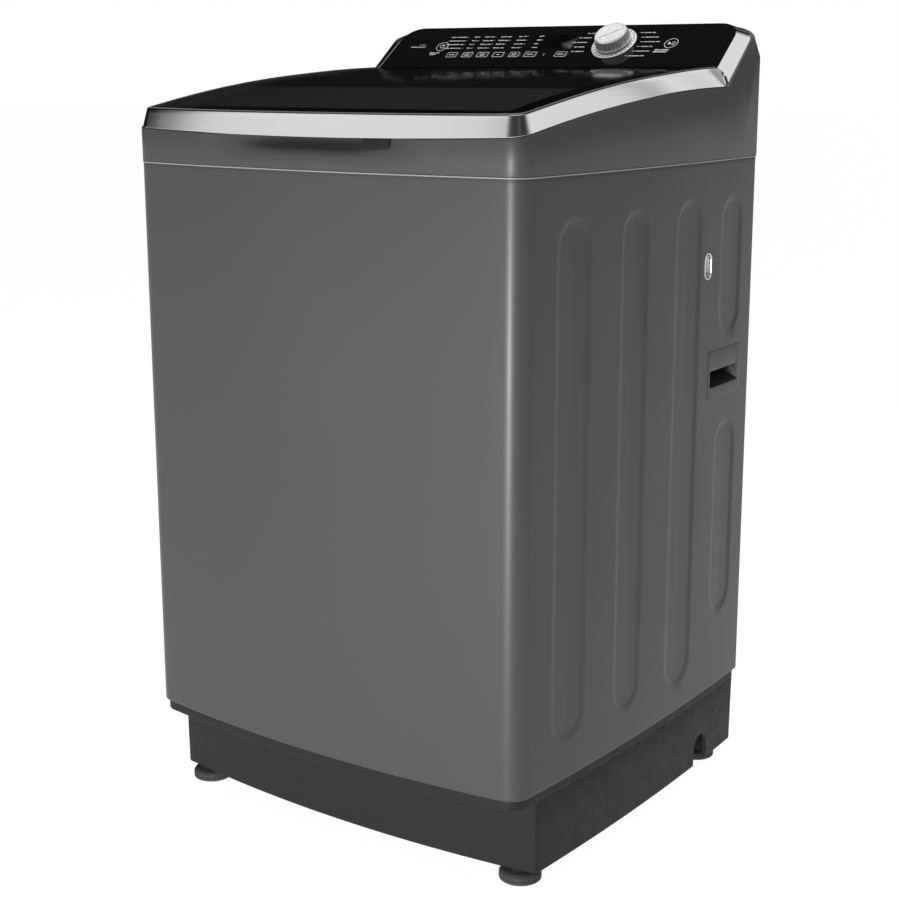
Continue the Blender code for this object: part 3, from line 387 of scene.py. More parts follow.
def turned(profile, steps, centre=(0.0, 0.0), bm=None, wave=None):
    """The (radius, z) profile turned about a vertical axis. It ends on the axis, or it is a closed ring.

    wave(angle, radius, z) adds to the radius, for ribs, teeth and threads.
    """
    bm = bm or bmesh.new()
    rows = []
    for radius, z in profile:
        row = []
        for i in range(steps if radius else 1):
            angle = 2 * pi * i / steps
            reach = radius + (wave(angle, radius, z) if wave and radius else 0.0)
            spot = (centre[0] + reach * cos(angle), centre[1] + reach * sin(angle), z)
            row.append(bm.verts.new(spot))
        rows.append(row)
    on_axis = profile[0][0] == 0 and profile[-1][0] == 0
    skin(bm, rows if on_axis else rows + rows[:1])
    return bm


def add_to(bm, part, matrix):
    """Moves a finished part by matrix and adds it to bm."""
    bmesh.ops.transform(part, matrix=matrix, verts=part.verts)
    mesh = bpy.data.meshes.new("part")
    part.to_mesh(mesh)
    bm.from_mesh(mesh)
    bpy.data.meshes.remove(mesh)
    part.free()


def around(count, make, start=0.0):
    """The part that make() returns, repeated count times about the vertical axis."""
    bm = bmesh.new()
    for i in range(count):
        add_to(bm, make(), Matrix.Rotation(start + 2 * pi * i / count, 4, "Z"))
    return bm


def tidy_mesh(bm, name):
    bmesh.ops.remove_doubles(bm, verts=bm.verts, dist=1e-6)
    bmesh.ops.recalc_face_normals(bm, faces=bm.faces)
    mesh = bpy.data.meshes.new(name)
    bm.to_mesh(mesh)
    bm.free()
    return mesh


def shape(name, bm, matrix=None):
    """A plain object from bm, not yet dressed."""
    thing = bpy.data.objects.new(name, tidy_mesh(bm, name))
    bpy.context.scene.collection.objects.link(thing)
    if matrix is not None:
        thing.data.transform(matrix)
    return thing


def apply_modifiers(thing):
    bpy.context.view_layer.update()
    evaluated = thing.evaluated_get(bpy.context.evaluated_depsgraph_get())
    mesh = bpy.data.meshes.new_from_object(evaluated)
    thing.modifiers.clear()
    old = thing.data
    thing.data = mesh
    bpy.data.meshes.remove(old)


def combine(thing, others, operation):
    """Cuts, bounds or joins the thing with each of the others, shapes or bare meshes, which are used up."""
    for other in others:
        if isinstance(other, bmesh.types.BMesh):
            other = shape("tool", other)
        modifier = thing.modifiers.new("combine", "BOOLEAN")
        modifier.object = other
        modifier.operation = operation
        modifier.solver = "EXACT"
        apply_modifiers(thing)
        bpy.data.objects.remove(other)
    return thing


def cut(thing, *others):
    return combine(thing, others, "DIFFERENCE")


def keep(thing, *others):
    return combine(thing, others, "INTERSECT")


def join(thing, *others):
    return combine(thing, others, "UNION")


def thicken(thing, thickness):
    """Gives an open wall its thickness, inwards."""
    modifier = thing.modifiers.new("thicken", "SOLIDIFY")
    modifier.thickness = thickness
    modifier.offset = -1.0
    apply_modifiers(thing)


def soften(thing, width, segments=2, angle=35):
    """Rounds every edge sharper than angle."""
    modifier = thing.modifiers.new("soften", "BEVEL")
    modifier.width = width
    modifier.segments = segments
    modifier.limit_method = "ANGLE"
    modifier.angle_limit = radians(angle)
    modifier.use_clamp_overlap = True
    apply_modifiers(thing)
    return thing


def dress(thing, look, body, stands_for=(), sharp=38):
    """Gives a finished shape its material and its body, and hides the CAD nodes it stands for."""
    mesh = thing.data
    mesh.materials.clear()
    mesh.materials.append(LOOKS[look].material)
    mesh.shade_smooth()
    mesh.set_sharp_from_angle(angle=radians(sharp))
    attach(thing, body)
    if stands_for:
        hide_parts(*stands_for)
    return thing


def stretch(thing, look, slot, stands_for, spot, low, high):
    """Dresses an upright piece that stretches from the cabinet to the tub. low and high are not used."""
    thing.data.materials.append(LOOKS[look].material)
    thing.data.shade_smooth()
    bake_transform(thing)
    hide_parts(stands_for)


def on_face(name, bm, x=0.0, s=0.0, turn=0.0):
    """A piece of the console, made about its own middle and placed on the face."""
    return shape(name, bm, FACE @ Matrix.Translation((x, s, 0.0)) @ Matrix.Rotation(turn, 4, "Z"))


# ---- the object's lines
def front_y(x, front=Y_FRONT):
    return front + FRONT_BOW * (x / (HALF_WIDTH - SIDE_BOW)) ** 2


def side_x(y):
    middle, half = (Y_REAR + Y_FRONT) / 2, (Y_REAR - Y_FRONT) / 2
    return HALF_WIDTH - SIDE_BOW * ((y - middle) / half) ** 2


def plan(inset=0.0, front=Y_FRONT, rear=Y_REAR, level=0.0, side_ys=None, rear_xs=(), corner=CORNER_RADIUS):
    """The cabinet's outline from above, moved inwards by inset: bowed front and sides, round corners."""
    half_x = HALF_WIDTH - SIDE_BOW
    half_y = (Y_REAR - Y_FRONT) / 2
    middle = (Y_REAR + Y_FRONT) / 2
    radius = max(corner - inset, 0.004)
    rear_radius = max(REAR_RADIUS - inset, 0.003)
    corner_y = front_y(half_x - radius, front) + inset + radius
    corner_x = side_x(corner_y) - inset - radius
    corner_y = front_y(corner_x, front) + inset + radius
    lean_angle = atan(2 * FRONT_BOW * corner_x / half_x**2)
    flare = atan(2 * SIDE_BOW * (middle - corner_y) / half_y**2)
    right = [(x, front_y(x, front) + inset) for x in stations(0.0, corner_x, 12)[:-1]]
    right += arc((corner_x, corner_y), radius, -pi / 2 + lean_angle, -flare, 12)
    rear_y = rear - inset - rear_radius
    ys = side_ys or stations(corner_y, rear_y, 12)[1:]
    right += [(side_x(y) - inset, y) for y in ys]
    for angle in stations(0.0, pi / 2, 8)[1:]:
        x = side_x(rear_y) - inset - rear_radius * (1 - cos(angle))
        right.append((x, rear_y + rear_radius * sin(angle)))
    right += [(x, rear - inset) for x in rear_xs]
    left = [(-x, y) for x, y in reversed(right[1:])]
    return [(x, y, level) for x, y in right + left]


def flat(points):
    return [(x, y) for x, y, _ in points]


def clamped(t):
    return min(max(t, 0.0), 1.0)


def ease(t):
    t = clamped(t)
    return t * t * (3 - 2 * t)


def cover_z(y):
    """Top of the grey cover under the lid's band."""
    return SEAM_Z + COVER_PEAK - COVER_FALL * (COVER_PEAK_Y - y) ** 2


def lid_z(y):
    """Top surface of the lid."""
    nose, tail = clamped((-0.235 - y) / 0.05), clamped((y - 0.05) / 0.15)
    return cover_z(y) + BAND_HEIGHT + BAND_FRONT_EXTRA * nose**2 + 0.003 * tail


def face_point(s, n):
    spot = FACE @ Vector((0.0, s, n))
    return spot.y, spot.z


# ---- cabinet
RIBS = (
    (-0.2066, -0.138, 0.172, 0.792), (-0.073, -0.01, 0.17, 0.792), (0.057, 0.127, 0.16, 0.795),
    (0.183, 0.248, 0.612, 0.793), (0.183, 0.248, 0.229, 0.498),
)
RIB_DEPTH = 0.0026
RIB_EDGE = 0.0085
SIDE_FROM_X = 0.27
SHEET = 0.001


def rib_depth(y, z):
    """How far the pressed ribs sink into a side wall."""
    for low_y, high_y, low_z, high_z in RIBS:
        half = (high_y - low_y) / 2
        middle = (high_y + low_y) / 2
        spine = min(max(z, low_z + half), high_z - half)
        inside = half - hypot(y - middle, z - spine)
        if inside > 0:
            dish = min(inside / half, 1.0)
            return RIB_DEPTH * (0.72 * ease(inside / RIB_EDGE) + 0.28 * dish)
    return 0.0


def lines_between(ends, fine_step, coarse_step, edges, spread):
    """Grid lines from end to end, close together near each edge."""
    value, lines = ends[0], []
    while value < ends[1] - 1e-6:
        lines.append(value)
        near = any(abs(value - edge) < spread for edge in edges)
        value += fine_step if near else coarse_step
    return lines + [ends[1]]


def snap(lines, targets):
    """Moves the nearest grid line onto each target."""
    lines = list(lines)
    for target in targets:
        nearest = min(range(len(lines)), key=lambda i: abs(lines[i] - target))
        lines[nearest] = target
    return sorted(set(lines))


def within(value, ends):
    return ends[0] < value < ends[1]


def cabinet():
    hook_y = (HOOK_Y - HOOK_HOLE[0], HOOK_Y + HOOK_HOLE[0])
    hook_z = (HOOK_Z - HOOK_HOLE[1], HOOK_Z + HOOK_HOLE[1])
    side_ys = snap(stations(-0.2368, 0.2814, 200)[1:], (*HANDLE_Y, *hook_y))
    ends = [z for _, _, low, high in RIBS for z in (low + 0.016, high - 0.016)]
    levels = lines_between((0.13, 0.832), 0.0032, 0.016, ends, 0.024)
    levels = snap(levels, (*HANDLE_Z, *hook_z, *SERVICE_Z))
    top = SEAM_Z - GAP
    hem, set_in = 0.0018, 0.0007
    rows = [(0.014, CABINET_BOTTOM)]
    rows += [(hem * (1 - sin(a)), CABINET_BOTTOM + hem * (1 - cos(a))) for a in stations(0, pi / 2, 4)]
    rows += [(0.0, z) for z in levels]
    rows += [(hem * (1 - cos(a)), top - hem + hem * sin(a)) for a in stations(0, pi / 2, 4)]
    rows.append((0.014, top))
    rear_xs = [SERVICE_X + 0.03, SERVICE_X, 0.1, 0.0]
    bm = bmesh.new()
    grid = []
    for inset, z in rows:
        outline = plan(set_in + inset, rear=SHELL_REAR + set_in, level=z, side_ys=side_ys, rear_xs=rear_xs)
        line = []
        for x, y, _ in outline:
            if abs(x) > SIDE_FROM_X and -0.24 < y < 0.27 and inset == 0.0:
                x -= copysign(rib_depth(y, z), x)
            line.append(bm.verts.new((x, y, z)))
        grid.append(line)
    count = len(grid[0])
    for low, high in zip(grid, grid[1:]):
        for i in range(count):
            j = (i + 1) % count
            corners = (low[i], low[j], high[j], high[i])
            middle = sum((v.co for v in corners), Vector()) / 4
            on_side = abs(middle.x) > SIDE_FROM_X
            in_handle = within(middle.y, HANDLE_Y) and within(middle.z, HANDLE_Z)
            in_hook = middle.x > 0 and within(middle.y, hook_y) and within(middle.z, hook_z)
            in_service = abs(middle.x) < SERVICE_X and middle.y > 0.28 and within(middle.z, SERVICE_Z)
            if not (on_side and (in_handle or in_hook)) and not in_service:
                bm.faces.new(corners)
    shell = shape("cabinet_wrap", bm)
    thicken(shell, SHEET)
    dress(shell, "paint", "cabinet", ["cabinet_shell"], sharp=50)
    # A thin ring, lighter grey than the paint, round the cabinet's top edge: a painted highlight along the
    # seam.
    rows = (
        (0.001, -0.002), (0.0002, -0.0016), (0.0, -0.0012), (0.0, -0.0005), (0.0003, -0.0002), (0.0008, 0.0),
        (0.0024, 0.0), (0.0024, -0.002),
    )
    seam_highlight = loops_mesh([plan(inset, rear=SHELL_REAR + 0.0015, level=top + z) for inset, z in rows],
                          closed=True)
    dress(shape("cabinet_hem_highlight", seam_highlight), "hem", "cabinet")


# ---- base and feet
def base():
    skirt_front = Y_FRONT + TOE_KICK
    top = CABINET_BOTTOM - GAP

    def skirt(inset, level):
        return plan(BASE_INSET + inset, front=skirt_front, rear=SHELL_REAR, level=level, corner=SKIRT_RADIUS)

    def rim(inset, level):
        return plan(BASE_INSET + inset, rear=SHELL_REAR, level=level)

    loops = [skirt(0.0036, FOOT_HEIGHT)]
    for angle in stations(0, pi / 2, 4):
        loops.append(skirt(0.0012 + 0.0022 * (1 - sin(angle)), FOOT_HEIGHT + 0.0022 * (1 - cos(angle))))
    height = RIM_BOTTOM - 0.001 - FOOT_HEIGHT - 0.004
    loops += [skirt(0.0012 - 0.001 * t, FOOT_HEIGHT + 0.004 + height * t) for t in (0.0, 0.3, 0.6, 1.0)]
    loops += [rim(0.0006, RIM_BOTTOM), rim(0.0002, RIM_BOTTOM + 0.0005), rim(0.0, RIM_BOTTOM + 0.0012)]
    loops += [rim(0.0, RIM_BOTTOM + 0.0034), rim(0.0, top - 0.0006), rim(0.0006, top)]
    loops += [skirt(0.02, top), skirt(0.02, top - 0.004), skirt(0.0046, top - 0.004),
              skirt(0.007, FOOT_HEIGHT)]
    body = shape("base_moulding", loops_mesh(loops, closed=True))
    for foot_x, y in FOOT_SPOTS.values():
        for side, _ in SIDES:
            x = side * foot_x
            xs = sided(side, foot_x - 0.032, 0.32)
            ys = sided(copysign(1, y), abs(y) - 0.03, 0.32)
            low, high = zip(xs, ys, (FOOT_HEIGHT + 0.002, top - 0.002))
            block = keep(shape("foot_block", box(low, high)), prism(flat(skirt(0.004, 0)), 0, 0.125))
            join(body, block)
            cut(body, prism(circle(0.0084, 24, (x, y)), 0.0, 0.075))
    join(body, box((0.236, 0.1995, FOOT_HEIGHT + 0.003), (0.25, 0.22, 0.06)))
    half = (ARCH_Y[1] - ARCH_Y[0]) / 2
    arch = [(y, 0.0) for y in ARCH_Y] + arc((sum(ARCH_Y) / 2, ARCH_TOP - half), half, 0, pi, 20)
    cut(body, prism(arch, 0.262, 0.32, axis=0))
    dress(body, "dark", "cabinet", ["base_frame"])


def feet():
    stud = 0.008
    for end, (foot_x, y) in FOOT_SPOTS.items():
        for side, tag in SIDES:
            profile = [
                (0.0, 0.0006), (0.0215, 0.0006), (0.0222, 0.0), (0.0245, 0.0), (0.0256, 0.0008),
                (0.026, 0.0022), (0.026, 0.0045), (0.0254, 0.005), (0.0254, 0.006), (0.026, 0.0066),
                (0.026, 0.0088), (0.0254, 0.01), (0.0232, 0.0128), (0.0215, 0.0134), (0.014, 0.0142),
                (0.013, 0.0148), (0.012, 0.0158), (stud, 0.016),
            ]
            for i in range(20):
                z = 0.0185 + i * 0.0022
                profile += [(stud, z), (stud - 0.0009, z + 0.0011)]
            profile += [(stud, 0.066), (0.0065, 0.068), (0.0, 0.068)]
            foot = shape(f"levelling_foot_{end}_{tag}", turned(profile, 40, (side * foot_x, y)))
            body = f"foot_front_{tag}" if end == "front" else "cabinet"
            dress(foot, "rubber", body, [f"foot_{end}_{tag}"])


# ---- top cover
def hinge_rod(radius, steps, low, high):
    return prism(circle(radius, steps, (PIVOT.y, PIVOT.z)), low, high, axis=0)


def seat_drop(s):
    """How far below the face the console's trim sits, up the slope."""
    return TRIM_DROP_LOW + (TRIM_DROP_HIGH - TRIM_DROP_LOW) * clamped((s + 0.0257) / 0.1162)


def cover_profile(inset):
    """The cover seen from the side, as (y, z), moved inwards by inset."""
    below = SEAM_Z if inset == 0 else SEAM_Z - 0.02
    front = Y_FRONT - 0.01 if inset == 0 else Y_FRONT - 0.005
    points = [(front, below)]
    points += [(y, cover_z(y) - inset) for y in stations(front, LID_REAR - 0.0062, 28)]
    points.append(face_point(-0.018, -seat_drop(-0.0257) - GAP - inset))
    upper = seat_drop(0.0905) + GAP + inset
    shoulder = face_point(PANEL_TOP + 0.0015 - inset, -upper)
    points.append(shoulder)
    rear = Y_REAR + 0.002 - inset
    for angle in stations(0, pi / 2, 12)[1:]:
        y = shoulder[0] + (rear - shoulder[0]) * sin(angle)
        points.append((y, shoulder[1] - (shoulder[1] - SEAM_Z - 0.07) * (1 - cos(angle))))
    points.append((rear, below))
    return points


def panel_edge(out_x=0.0, out_s=0.0, start=0.0015, count=10):
    """The console face's outline as (x, s), from its lower right corner over the top to its lower left."""
    half_top = PANEL_HALF - 0.002
    centre_x, centre_s = half_top - PANEL_RADIUS, PANEL_TOP - PANEL_RADIUS
    right = []
    for s in stations(start, centre_s, 4):
        right.append((PANEL_HALF + out_x - 0.002 * s / centre_s, s))
    for angle in stations(0, pi / 2, count)[1:]:
        x = centre_x + (PANEL_RADIUS + out_x) * cos(angle)
        right.append((x, centre_s + (PANEL_RADIUS + out_s) * sin(angle)))
    return right + [(-x, s) for x, s in reversed(right)]


def cover_body(name, inset):
    """The cover's outer form, or its hollow: the side profile within the plan and the console's shoulders."""
    body = shape(name, side_prism(cover_profile(inset)))
    keep(body, prism(flat(plan(inset)), 0.78, 1.05))
    shoulders = panel_edge(0.026 - inset, TRIM_TOP_WIDTH + 0.0006 - inset, start=0.03)
    shoulders += [(-0.33, -0.02), (-0.33, -0.6), (0.33, -0.6), (0.33, -0.02)]
    return keep(body, on_face("shoulders", prism(shoulders, -0.45, 0.45)))


def mouth_loft(grow, low, high):
    """The loading mouth: an oval at the deck that narrows to a round at the seam."""
    loops = []
    for z in stations(low, high, 3):
        share = (z - SEAM_Z) / 0.09
        centre_y = -0.014 - 0.036 * share
        radius_x = MOUTH_RADIUS + 0.014 * share + grow
        radius_y = 0.176 - 0.004 * share + grow
        outline = circle(radius_x, 72, (0.0, centre_y), radius_y / radius_x)
        loops.append([(x, y, z) for x, y in outline])
    return loops_mesh(loops)


SCOOP_X = (-0.16, 0.186)
SCOOP_LOW = SEAM_Z + 0.0125
SCOOP_DEPTH = 0.0175


def scoop_form(grow=0.0):
    """The finger scoop under the lid's front edge: its floor slopes in and up, deepest in the middle."""
    middle, half = sum(SCOOP_X) / 2, (SCOOP_X[1] - SCOOP_X[0]) / 2
    loops = []
    for t in stations(-1.0, 1.0, 56):
        x = middle + (half + grow) * t
        fullness = ease((1 - abs(t)) / 0.8)
        surface = front_y(x) - 0.0004
        low = SCOOP_LOW + 0.014 * (1 - ease((1 - abs(t)) / 0.35)) - grow
        depth = (SCOOP_DEPTH + grow) * fullness + 0.0006
        line = [(x, Y_FRONT - 0.02, low), (x, surface, low)]
        for u in stations(0.0, 1.0, 12)[1:]:
            line.append((x, surface + depth * (0.28 * u + 0.72 * ease(u) ** 1.1),
                         low + (SEAM_Z + 0.035 - low) * u))
        line += [(x, surface + depth, SEAM_Z + 0.06), (x, Y_FRONT - 0.02, SEAM_Z + 0.06)]
        loops.append(line)
    return loops_mesh(loops)


def top_cover():
    cover = cover_body("top_moulding", 0.0)
    hollow = cover_body("cover_hollow", WALL)
    cut(hollow, mouth_loft(WALL, 0.8, 1.0), scoop_form(WALL))
    cut(cover, hollow, mouth_loft(0.0, 0.78, 1.02), scoop_form())
    opening = rounded_rectangle((-0.235, 0.014), (0.235, 0.07), 0.008)
    cut(cover, on_face("console_opening", prism(opening, -0.03, 0.01)))
    case_low, case_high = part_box("detergent_case")
    room_low = (case_low.x - GAP, 0.04, case_low.z - GAP)
    room_high = (case_high.x + GAP, case_high.y + GAP, case_high.z + GAP)
    cut(cover, box(room_low, room_high))
    cut(cover, prism(circle(0.015, 32, INLET_SPOT), 0.262, 0.32, axis=1))
    soften(cover, 0.0009, 2, 40)
    dress(cover, "cover", "cabinet", ["top_cover"], sharp=32)
    ear_half = 0.0045
    outline = [(PIVOT.y - ear_half, SEAM_Z + 0.087), (PIVOT.y + ear_half, SEAM_Z + 0.087)]
    outline += arc((PIVOT.y, PIVOT.z), ear_half, 0, pi, 16)
    for side, tag in SIDES:
        x = side * PIN_X
        ear = shape(f"hinge_ear_{tag}", prism(outline, x - 0.006, x + 0.006, axis=0))
        cut(ear, hinge_rod(PIN_BORE, 20, x - 0.01, x + 0.01))
        soften(ear, 0.0006)
        dress(ear, "cover", "cabinet")


# ---- lid
FRONT_HALF = 37  # points of plan() from the front's middle to the rear end of a side


def lean(y):
    """How far the lid's band leans inwards from bottom to top edge."""
    return 0.008 + 0.011 * clamped((y + 0.27) / 0.46) ** 1.3


def lid_edge(offset):
    """The outline of the band's top edge, moved inwards by offset."""
    points = []
    for x, y, _ in plan(0.008 + offset):
        extra = (lean(y) - 0.008) * min(1.0, abs(x) / 0.2)
        points.append((x - copysign(extra, x), y, 0.0))
    return points


def front_run(loop):
    """The part of a plan outline from the left side round the front to the right side."""
    right = loop[:FRONT_HALF]
    return [(-x, y, z) for x, y, z in reversed(right[1:])] + right


def lid_slab(name, top, bottom, rear):
    """A curved plate under the lid's top surface, from top to bottom below it, wider than the lid."""
    ys = stations(Y_FRONT - 0.004, rear, 40)
    profile = [(y, lid_z(y) - top) for y in ys]
    profile += [(y, lid_z(y) - bottom) for y in reversed(ys)]
    return shape(name, side_prism(profile))


def band_section(low_out, high_out, high_in, low_in):
    """The band's section between its four corners, with small rounds on its outer edges."""
    wide = 0.003
    tall = (Vector(high_out) - Vector(low_out)).length
    turns = [(0.0006, 0.0), (0.0002, 0.0002), (0.0, 0.0006)]
    turns += [(0.0, tall * t) for t in (0.25, 0.5, 0.75)]
    turns += [(0.0012 * (1 - cos(a)), tall - 0.0012 * (1 - sin(a))) for a in stations(0, pi / 2, 4)]
    turns += [(0.0024, tall), (wide, tall - 0.0004), (wide, 0.0)]
    section = []
    for across, up in turns:
        u, v = across / wide, up / tall
        low = Vector(low_out).lerp(Vector(low_in), u)
        section.append(low.lerp(Vector(high_out).lerp(Vector(high_in), u), v))
    return section


def lid():
    rim, lift = 0.0018, 0.0008
    bottom_out, bottom_in = front_run(plan(rim)), front_run(plan(rim + 0.003))
    top_out, top_in = front_run(lid_edge(0.0)), front_run(lid_edge(0.003))
    sections = []
    for low_out, high_out, high_in, low_in in zip(bottom_out, top_out, top_in, bottom_in):
        lows = [(x, y, cover_z(y) + lift) for x, y, _ in (low_out, low_in)]
        highs = [(x, y, lid_z(y)) for x, y, _ in (high_out, high_in)]
        sections.append(band_section(lows[0], highs[0], highs[1], lows[1]))
    band = shape("lid_band", loops_mesh(sections))
    behind = [(0.1876, SEAM_Z + 0.07), (0.1876, SEAM_Z + 0.0885), (0.1962, SEAM_Z + 0.102)]
    behind += arc((PIVOT.y, PIVOT.z), 0.0068, -0.25, 0.9, 8)
    behind += [(LID_REAR, SEAM_Z + 0.1125), (LID_REAR, SEAM_Z + 0.14), (0.33, SEAM_Z + 0.14),
               (0.33, SEAM_Z + 0.07)]

    def behind_hinge():
        """The room behind the band's ends, which are round about the hinge to clear the console."""
        return side_prism(behind)

    cut(band, behind_hinge())
    dress(band, "chrome", "lid", ["lid_trim"], sharp=20)

    # A grey lip between the band and the glass; its grey is a painted highlight along the glass edge.
    sections = []
    for (out_x, out_y, _), (in_x, in_y, _) in zip(front_run(lid_edge(0.003)), front_run(lid_edge(0.0044))):
        out_z, in_z = lid_z(out_y), lid_z(in_y)
        sections.append([
            (out_x, out_y, out_z - 0.004), (out_x, out_y, out_z + 0.0009), (in_x, in_y, in_z + 0.0011),
            (in_x, in_y, in_z - 0.004),
        ])
    lip = cut(shape("lid_lip_highlight", loops_mesh(sections)), behind_hinge())
    dress(lip, "lip", "lid", sharp=30)

    glass = lid_slab("lid_pane", 0.0, LID_GLASS_THICK, PIVOT.y - BARREL_RADIUS - 0.0012)
    keep(glass, prism(flat(lid_edge(0.0047)), 0.8, 1.05))
    soften(glass, 0.0008, 3, 60)
    dress(glass, "glass", "lid", ["lid_glass"])

    frame_top = LID_GLASS_THICK + GAP
    inner = lid_slab("lid_carrier", frame_top, frame_top + LID_FRAME_THICK, PIVOT.y - 0.002)
    keep(inner, prism(flat(lid_edge(0.0038)), 0.8, 1.05))
    cut(inner, prism(rounded_rectangle((-0.205, -0.222), (0.205, 0.118), 0.035), 0.8, 1.05))
    join(inner, hinge_rod(BARREL_RADIUS, 32, -0.262, 0.262))
    for side, tag in SIDES:
        x = side * PIN_X
        ear_notch = box((x - 0.0068, 0.176, 0.9), (x + 0.0068, 0.21, 1.0))
        cut(inner, ear_notch, hinge_rod(PIN_BORE, 20, x - 0.0165, x + 0.0165))
        pin = shape(f"lid_pin_{tag}", hinge_rod(PIN_RADIUS, 24, x - 0.016, x + 0.016))
        soften(pin, 0.0003)
        dress(pin, "steel", "lid", [f"hinge_pin_{tag}"])
    soften(inner, 0.0007, 2, 45)
    dress(inner, "dark", "lid", ["lid_inner_frame"], sharp=32)

    tab_line = [(-0.2856, 0.0265), (-0.2832, 0.0265), (-0.2762, 0.052), (-0.2786, 0.052)]
    tab = shape("pull_tab", prism([(y, SEAM_Z + z) for y, z in tab_line], 0.084, 0.123, axis=0))
    soften(tab, 0.0007, 3)
    dress(tab, "dark", "lid", ["lid_tab"])


# ---- console
def bar_shape(grow):
    half_x, half_s = KEY_SIZE[0] / 2 + grow, KEY_SIZE[1] / 2 + grow
    return rounded_rectangle((-half_x, -half_s), (half_x, half_s), 0.0012, 4)


def round_shape(grow):
    return circle(ROUND_KEY_RADIUS + grow, 40)


def all_keys():
    """Name, outline, x and s of every push key."""
    spots = [(FIRST_KEY_X + i * KEY_PITCH, KEY_S) for i in range(6)] + [(LAST_KEY_X, KEY_S)]
    keys = [(f"function_key_{i + 1}", bar_shape, x, s) for i, (x, s) in enumerate(spots)]
    return keys + [("power_key", round_shape, *POWER_KEY), ("start_key", round_shape, *START_KEY)]


def console_panel():
    panel = on_face("console_face", prism(panel_edge(-GAP, -GAP, count=14), -GAP - PANEL_THICK, -GAP))
    join(panel, on_face("skirt",
                        box((-PANEL_HALF + 0.003, 0.0015, -0.0108), (PANEL_HALF - 0.003, 0.0045, -0.002))))
    holes = bmesh.new()
    for _, outline, x, s in all_keys():
        prism(shifted(outline(0.0004), x, s), -0.01, 0.004, bm=holes)
    window = rounded_rectangle((DISPLAY_X[0], DISPLAY_S[0]), (DISPLAY_X[1], DISPLAY_S[1]), 0.002)
    prism(window, -0.01, 0.004, bm=holes)
    prism(circle(0.0052, 24, (KNOB_X, KNOB_S)), -0.01, 0.004, bm=holes)
    cut(panel, on_face("holes", holes))
    soften(panel, 0.00035, 2, 50)
    dress(panel, "black", "cabinet", ["console_panel"])
    low, high = zip(DISPLAY_X, DISPLAY_S)
    pane = rounded_rectangle([v + GAP for v in low], [v - GAP for v in high], 0.002)
    pane = on_face("display_pane", prism(pane, -GAP - PANEL_THICK, -GAP))
    soften(pane, 0.0003, 2, 50)
    dress(pane, "display", "cabinet", ["display_window"])


MARK_N = (-GAP - 0.0002, -GAP + 0.00006)


def dash(bm, x, s, width, height=0.001):
    """A printed bar on the face, centred on x and s."""
    outline = rounded_rectangle((x - width / 2, s - height / 2), (x + width / 2, s + height / 2),
                                height * 0.45, 2)
    prism(outline, *MARK_N, bm=bm)


def ring_mark(bm, outer, inner):
    """A printed line between two outlines of equal length."""
    low, high = MARK_N
    loops = [
        [(x, s, low) for x, s in outer], [(x, s, high) for x, s in outer],
        [(x, s, high) for x, s in inner], [(x, s, low) for x, s in inner],
    ]
    loops_mesh(loops, closed=True, bm=bm)


def caption(bm, x, s, words, height=0.0021):
    """A stand-in for words of the given widths: rows of small upright strokes, starting at x."""
    for w, width in enumerate(words):
        count = max(2, round(width / 0.00125))
        for i in range(count):
            short = (3 * i + 5 * w) % 4 == 1
            low, high = s - height / 2, s + height / 2 - (0.0006 if short else 0.0)
            left = x + i * width / count
            prism([(left, low), (left + 0.00072, low), (left + 0.00072, high), (left, high)], *MARK_N, bm=bm)
        x += width + 0.0011
    return x


def console_marks():
    bright, faint = bmesh.new(), bmesh.new()
    columns = ((-0.1815, (0.011, 0.01, 0.007)), (-0.1409, (0.006, 0.002)), (-0.1223, (0.01, 0.007)),
               (-0.0952, (0.01, 0.007)), (-0.0647, (0.008, 0.006)), (-0.0304, (0.008,)))
    for row in range(4):
        s = 0.0687 - row * 0.0083
        for column, (x, words) in enumerate(columns):
            widths = [w * (0.82 + 0.09 * ((row * 3 + column * 2 + i) % 4)) for i, w in enumerate(words)]
            end = caption(bright, x, s, widths, 0.0017)
            if column % 2 == 0 or row == 1:
                dash(bright, end + 0.001, s, 0.001, 0.001)
    for row in range(6):
        s = 0.0735 - row * 0.0098
        reach = abs(s - KNOB_S)
        start = sqrt(max(0.0345**2 - reach**2, 0.0)) if reach < 0.0345 else 0.006
        start = max(start, 0.024)
        long = 0.0105 + 0.003 * (row % 3)
        dash(bright, KNOB_X + start + 0.0045 + 0.002, s, 0.0045, 0.0006)
        caption(bright, KNOB_X + start + 0.0105, s, (long, 0.006), 0.0017)
        if row < 5:
            caption(bright, KNOB_X - start - 0.0105 - long - 0.005, s, (0.005, long), 0.0017)
    caption(faint, -0.23, 0.052, (0.012,), 0.0016)
    caption(bright, -0.242, 0.047, (0.012, 0.013), 0.0018)
    for x, s, words in ((-0.2005, 0.0335, (0.009, 0.007)), (-0.1985, 0.03, (0.01,))):
        caption(bright, x, s, words, 0.0024)
    for x, s, words in ((0.1665, 0.0365, (0.008, 0.012)), (0.1655, 0.0325, (0.007, 0.012))):
        caption(bright, x, s, words, 0.0026)
    ring_mark(faint, circle(0.0016, 12, (-0.003, KEY_S)), circle(0.0011, 12, (-0.003, KEY_S)))
    dash(faint, -0.003, KEY_S - 0.0022, 0.0034, 0.0006)
    dash(faint, 0.04, KEY_S + 0.016, 0.004, 0.0006)
    dress(on_face("console_print", bright), "print", "cabinet")
    dress(on_face("console_print_faint", faint), "faint", "cabinet")


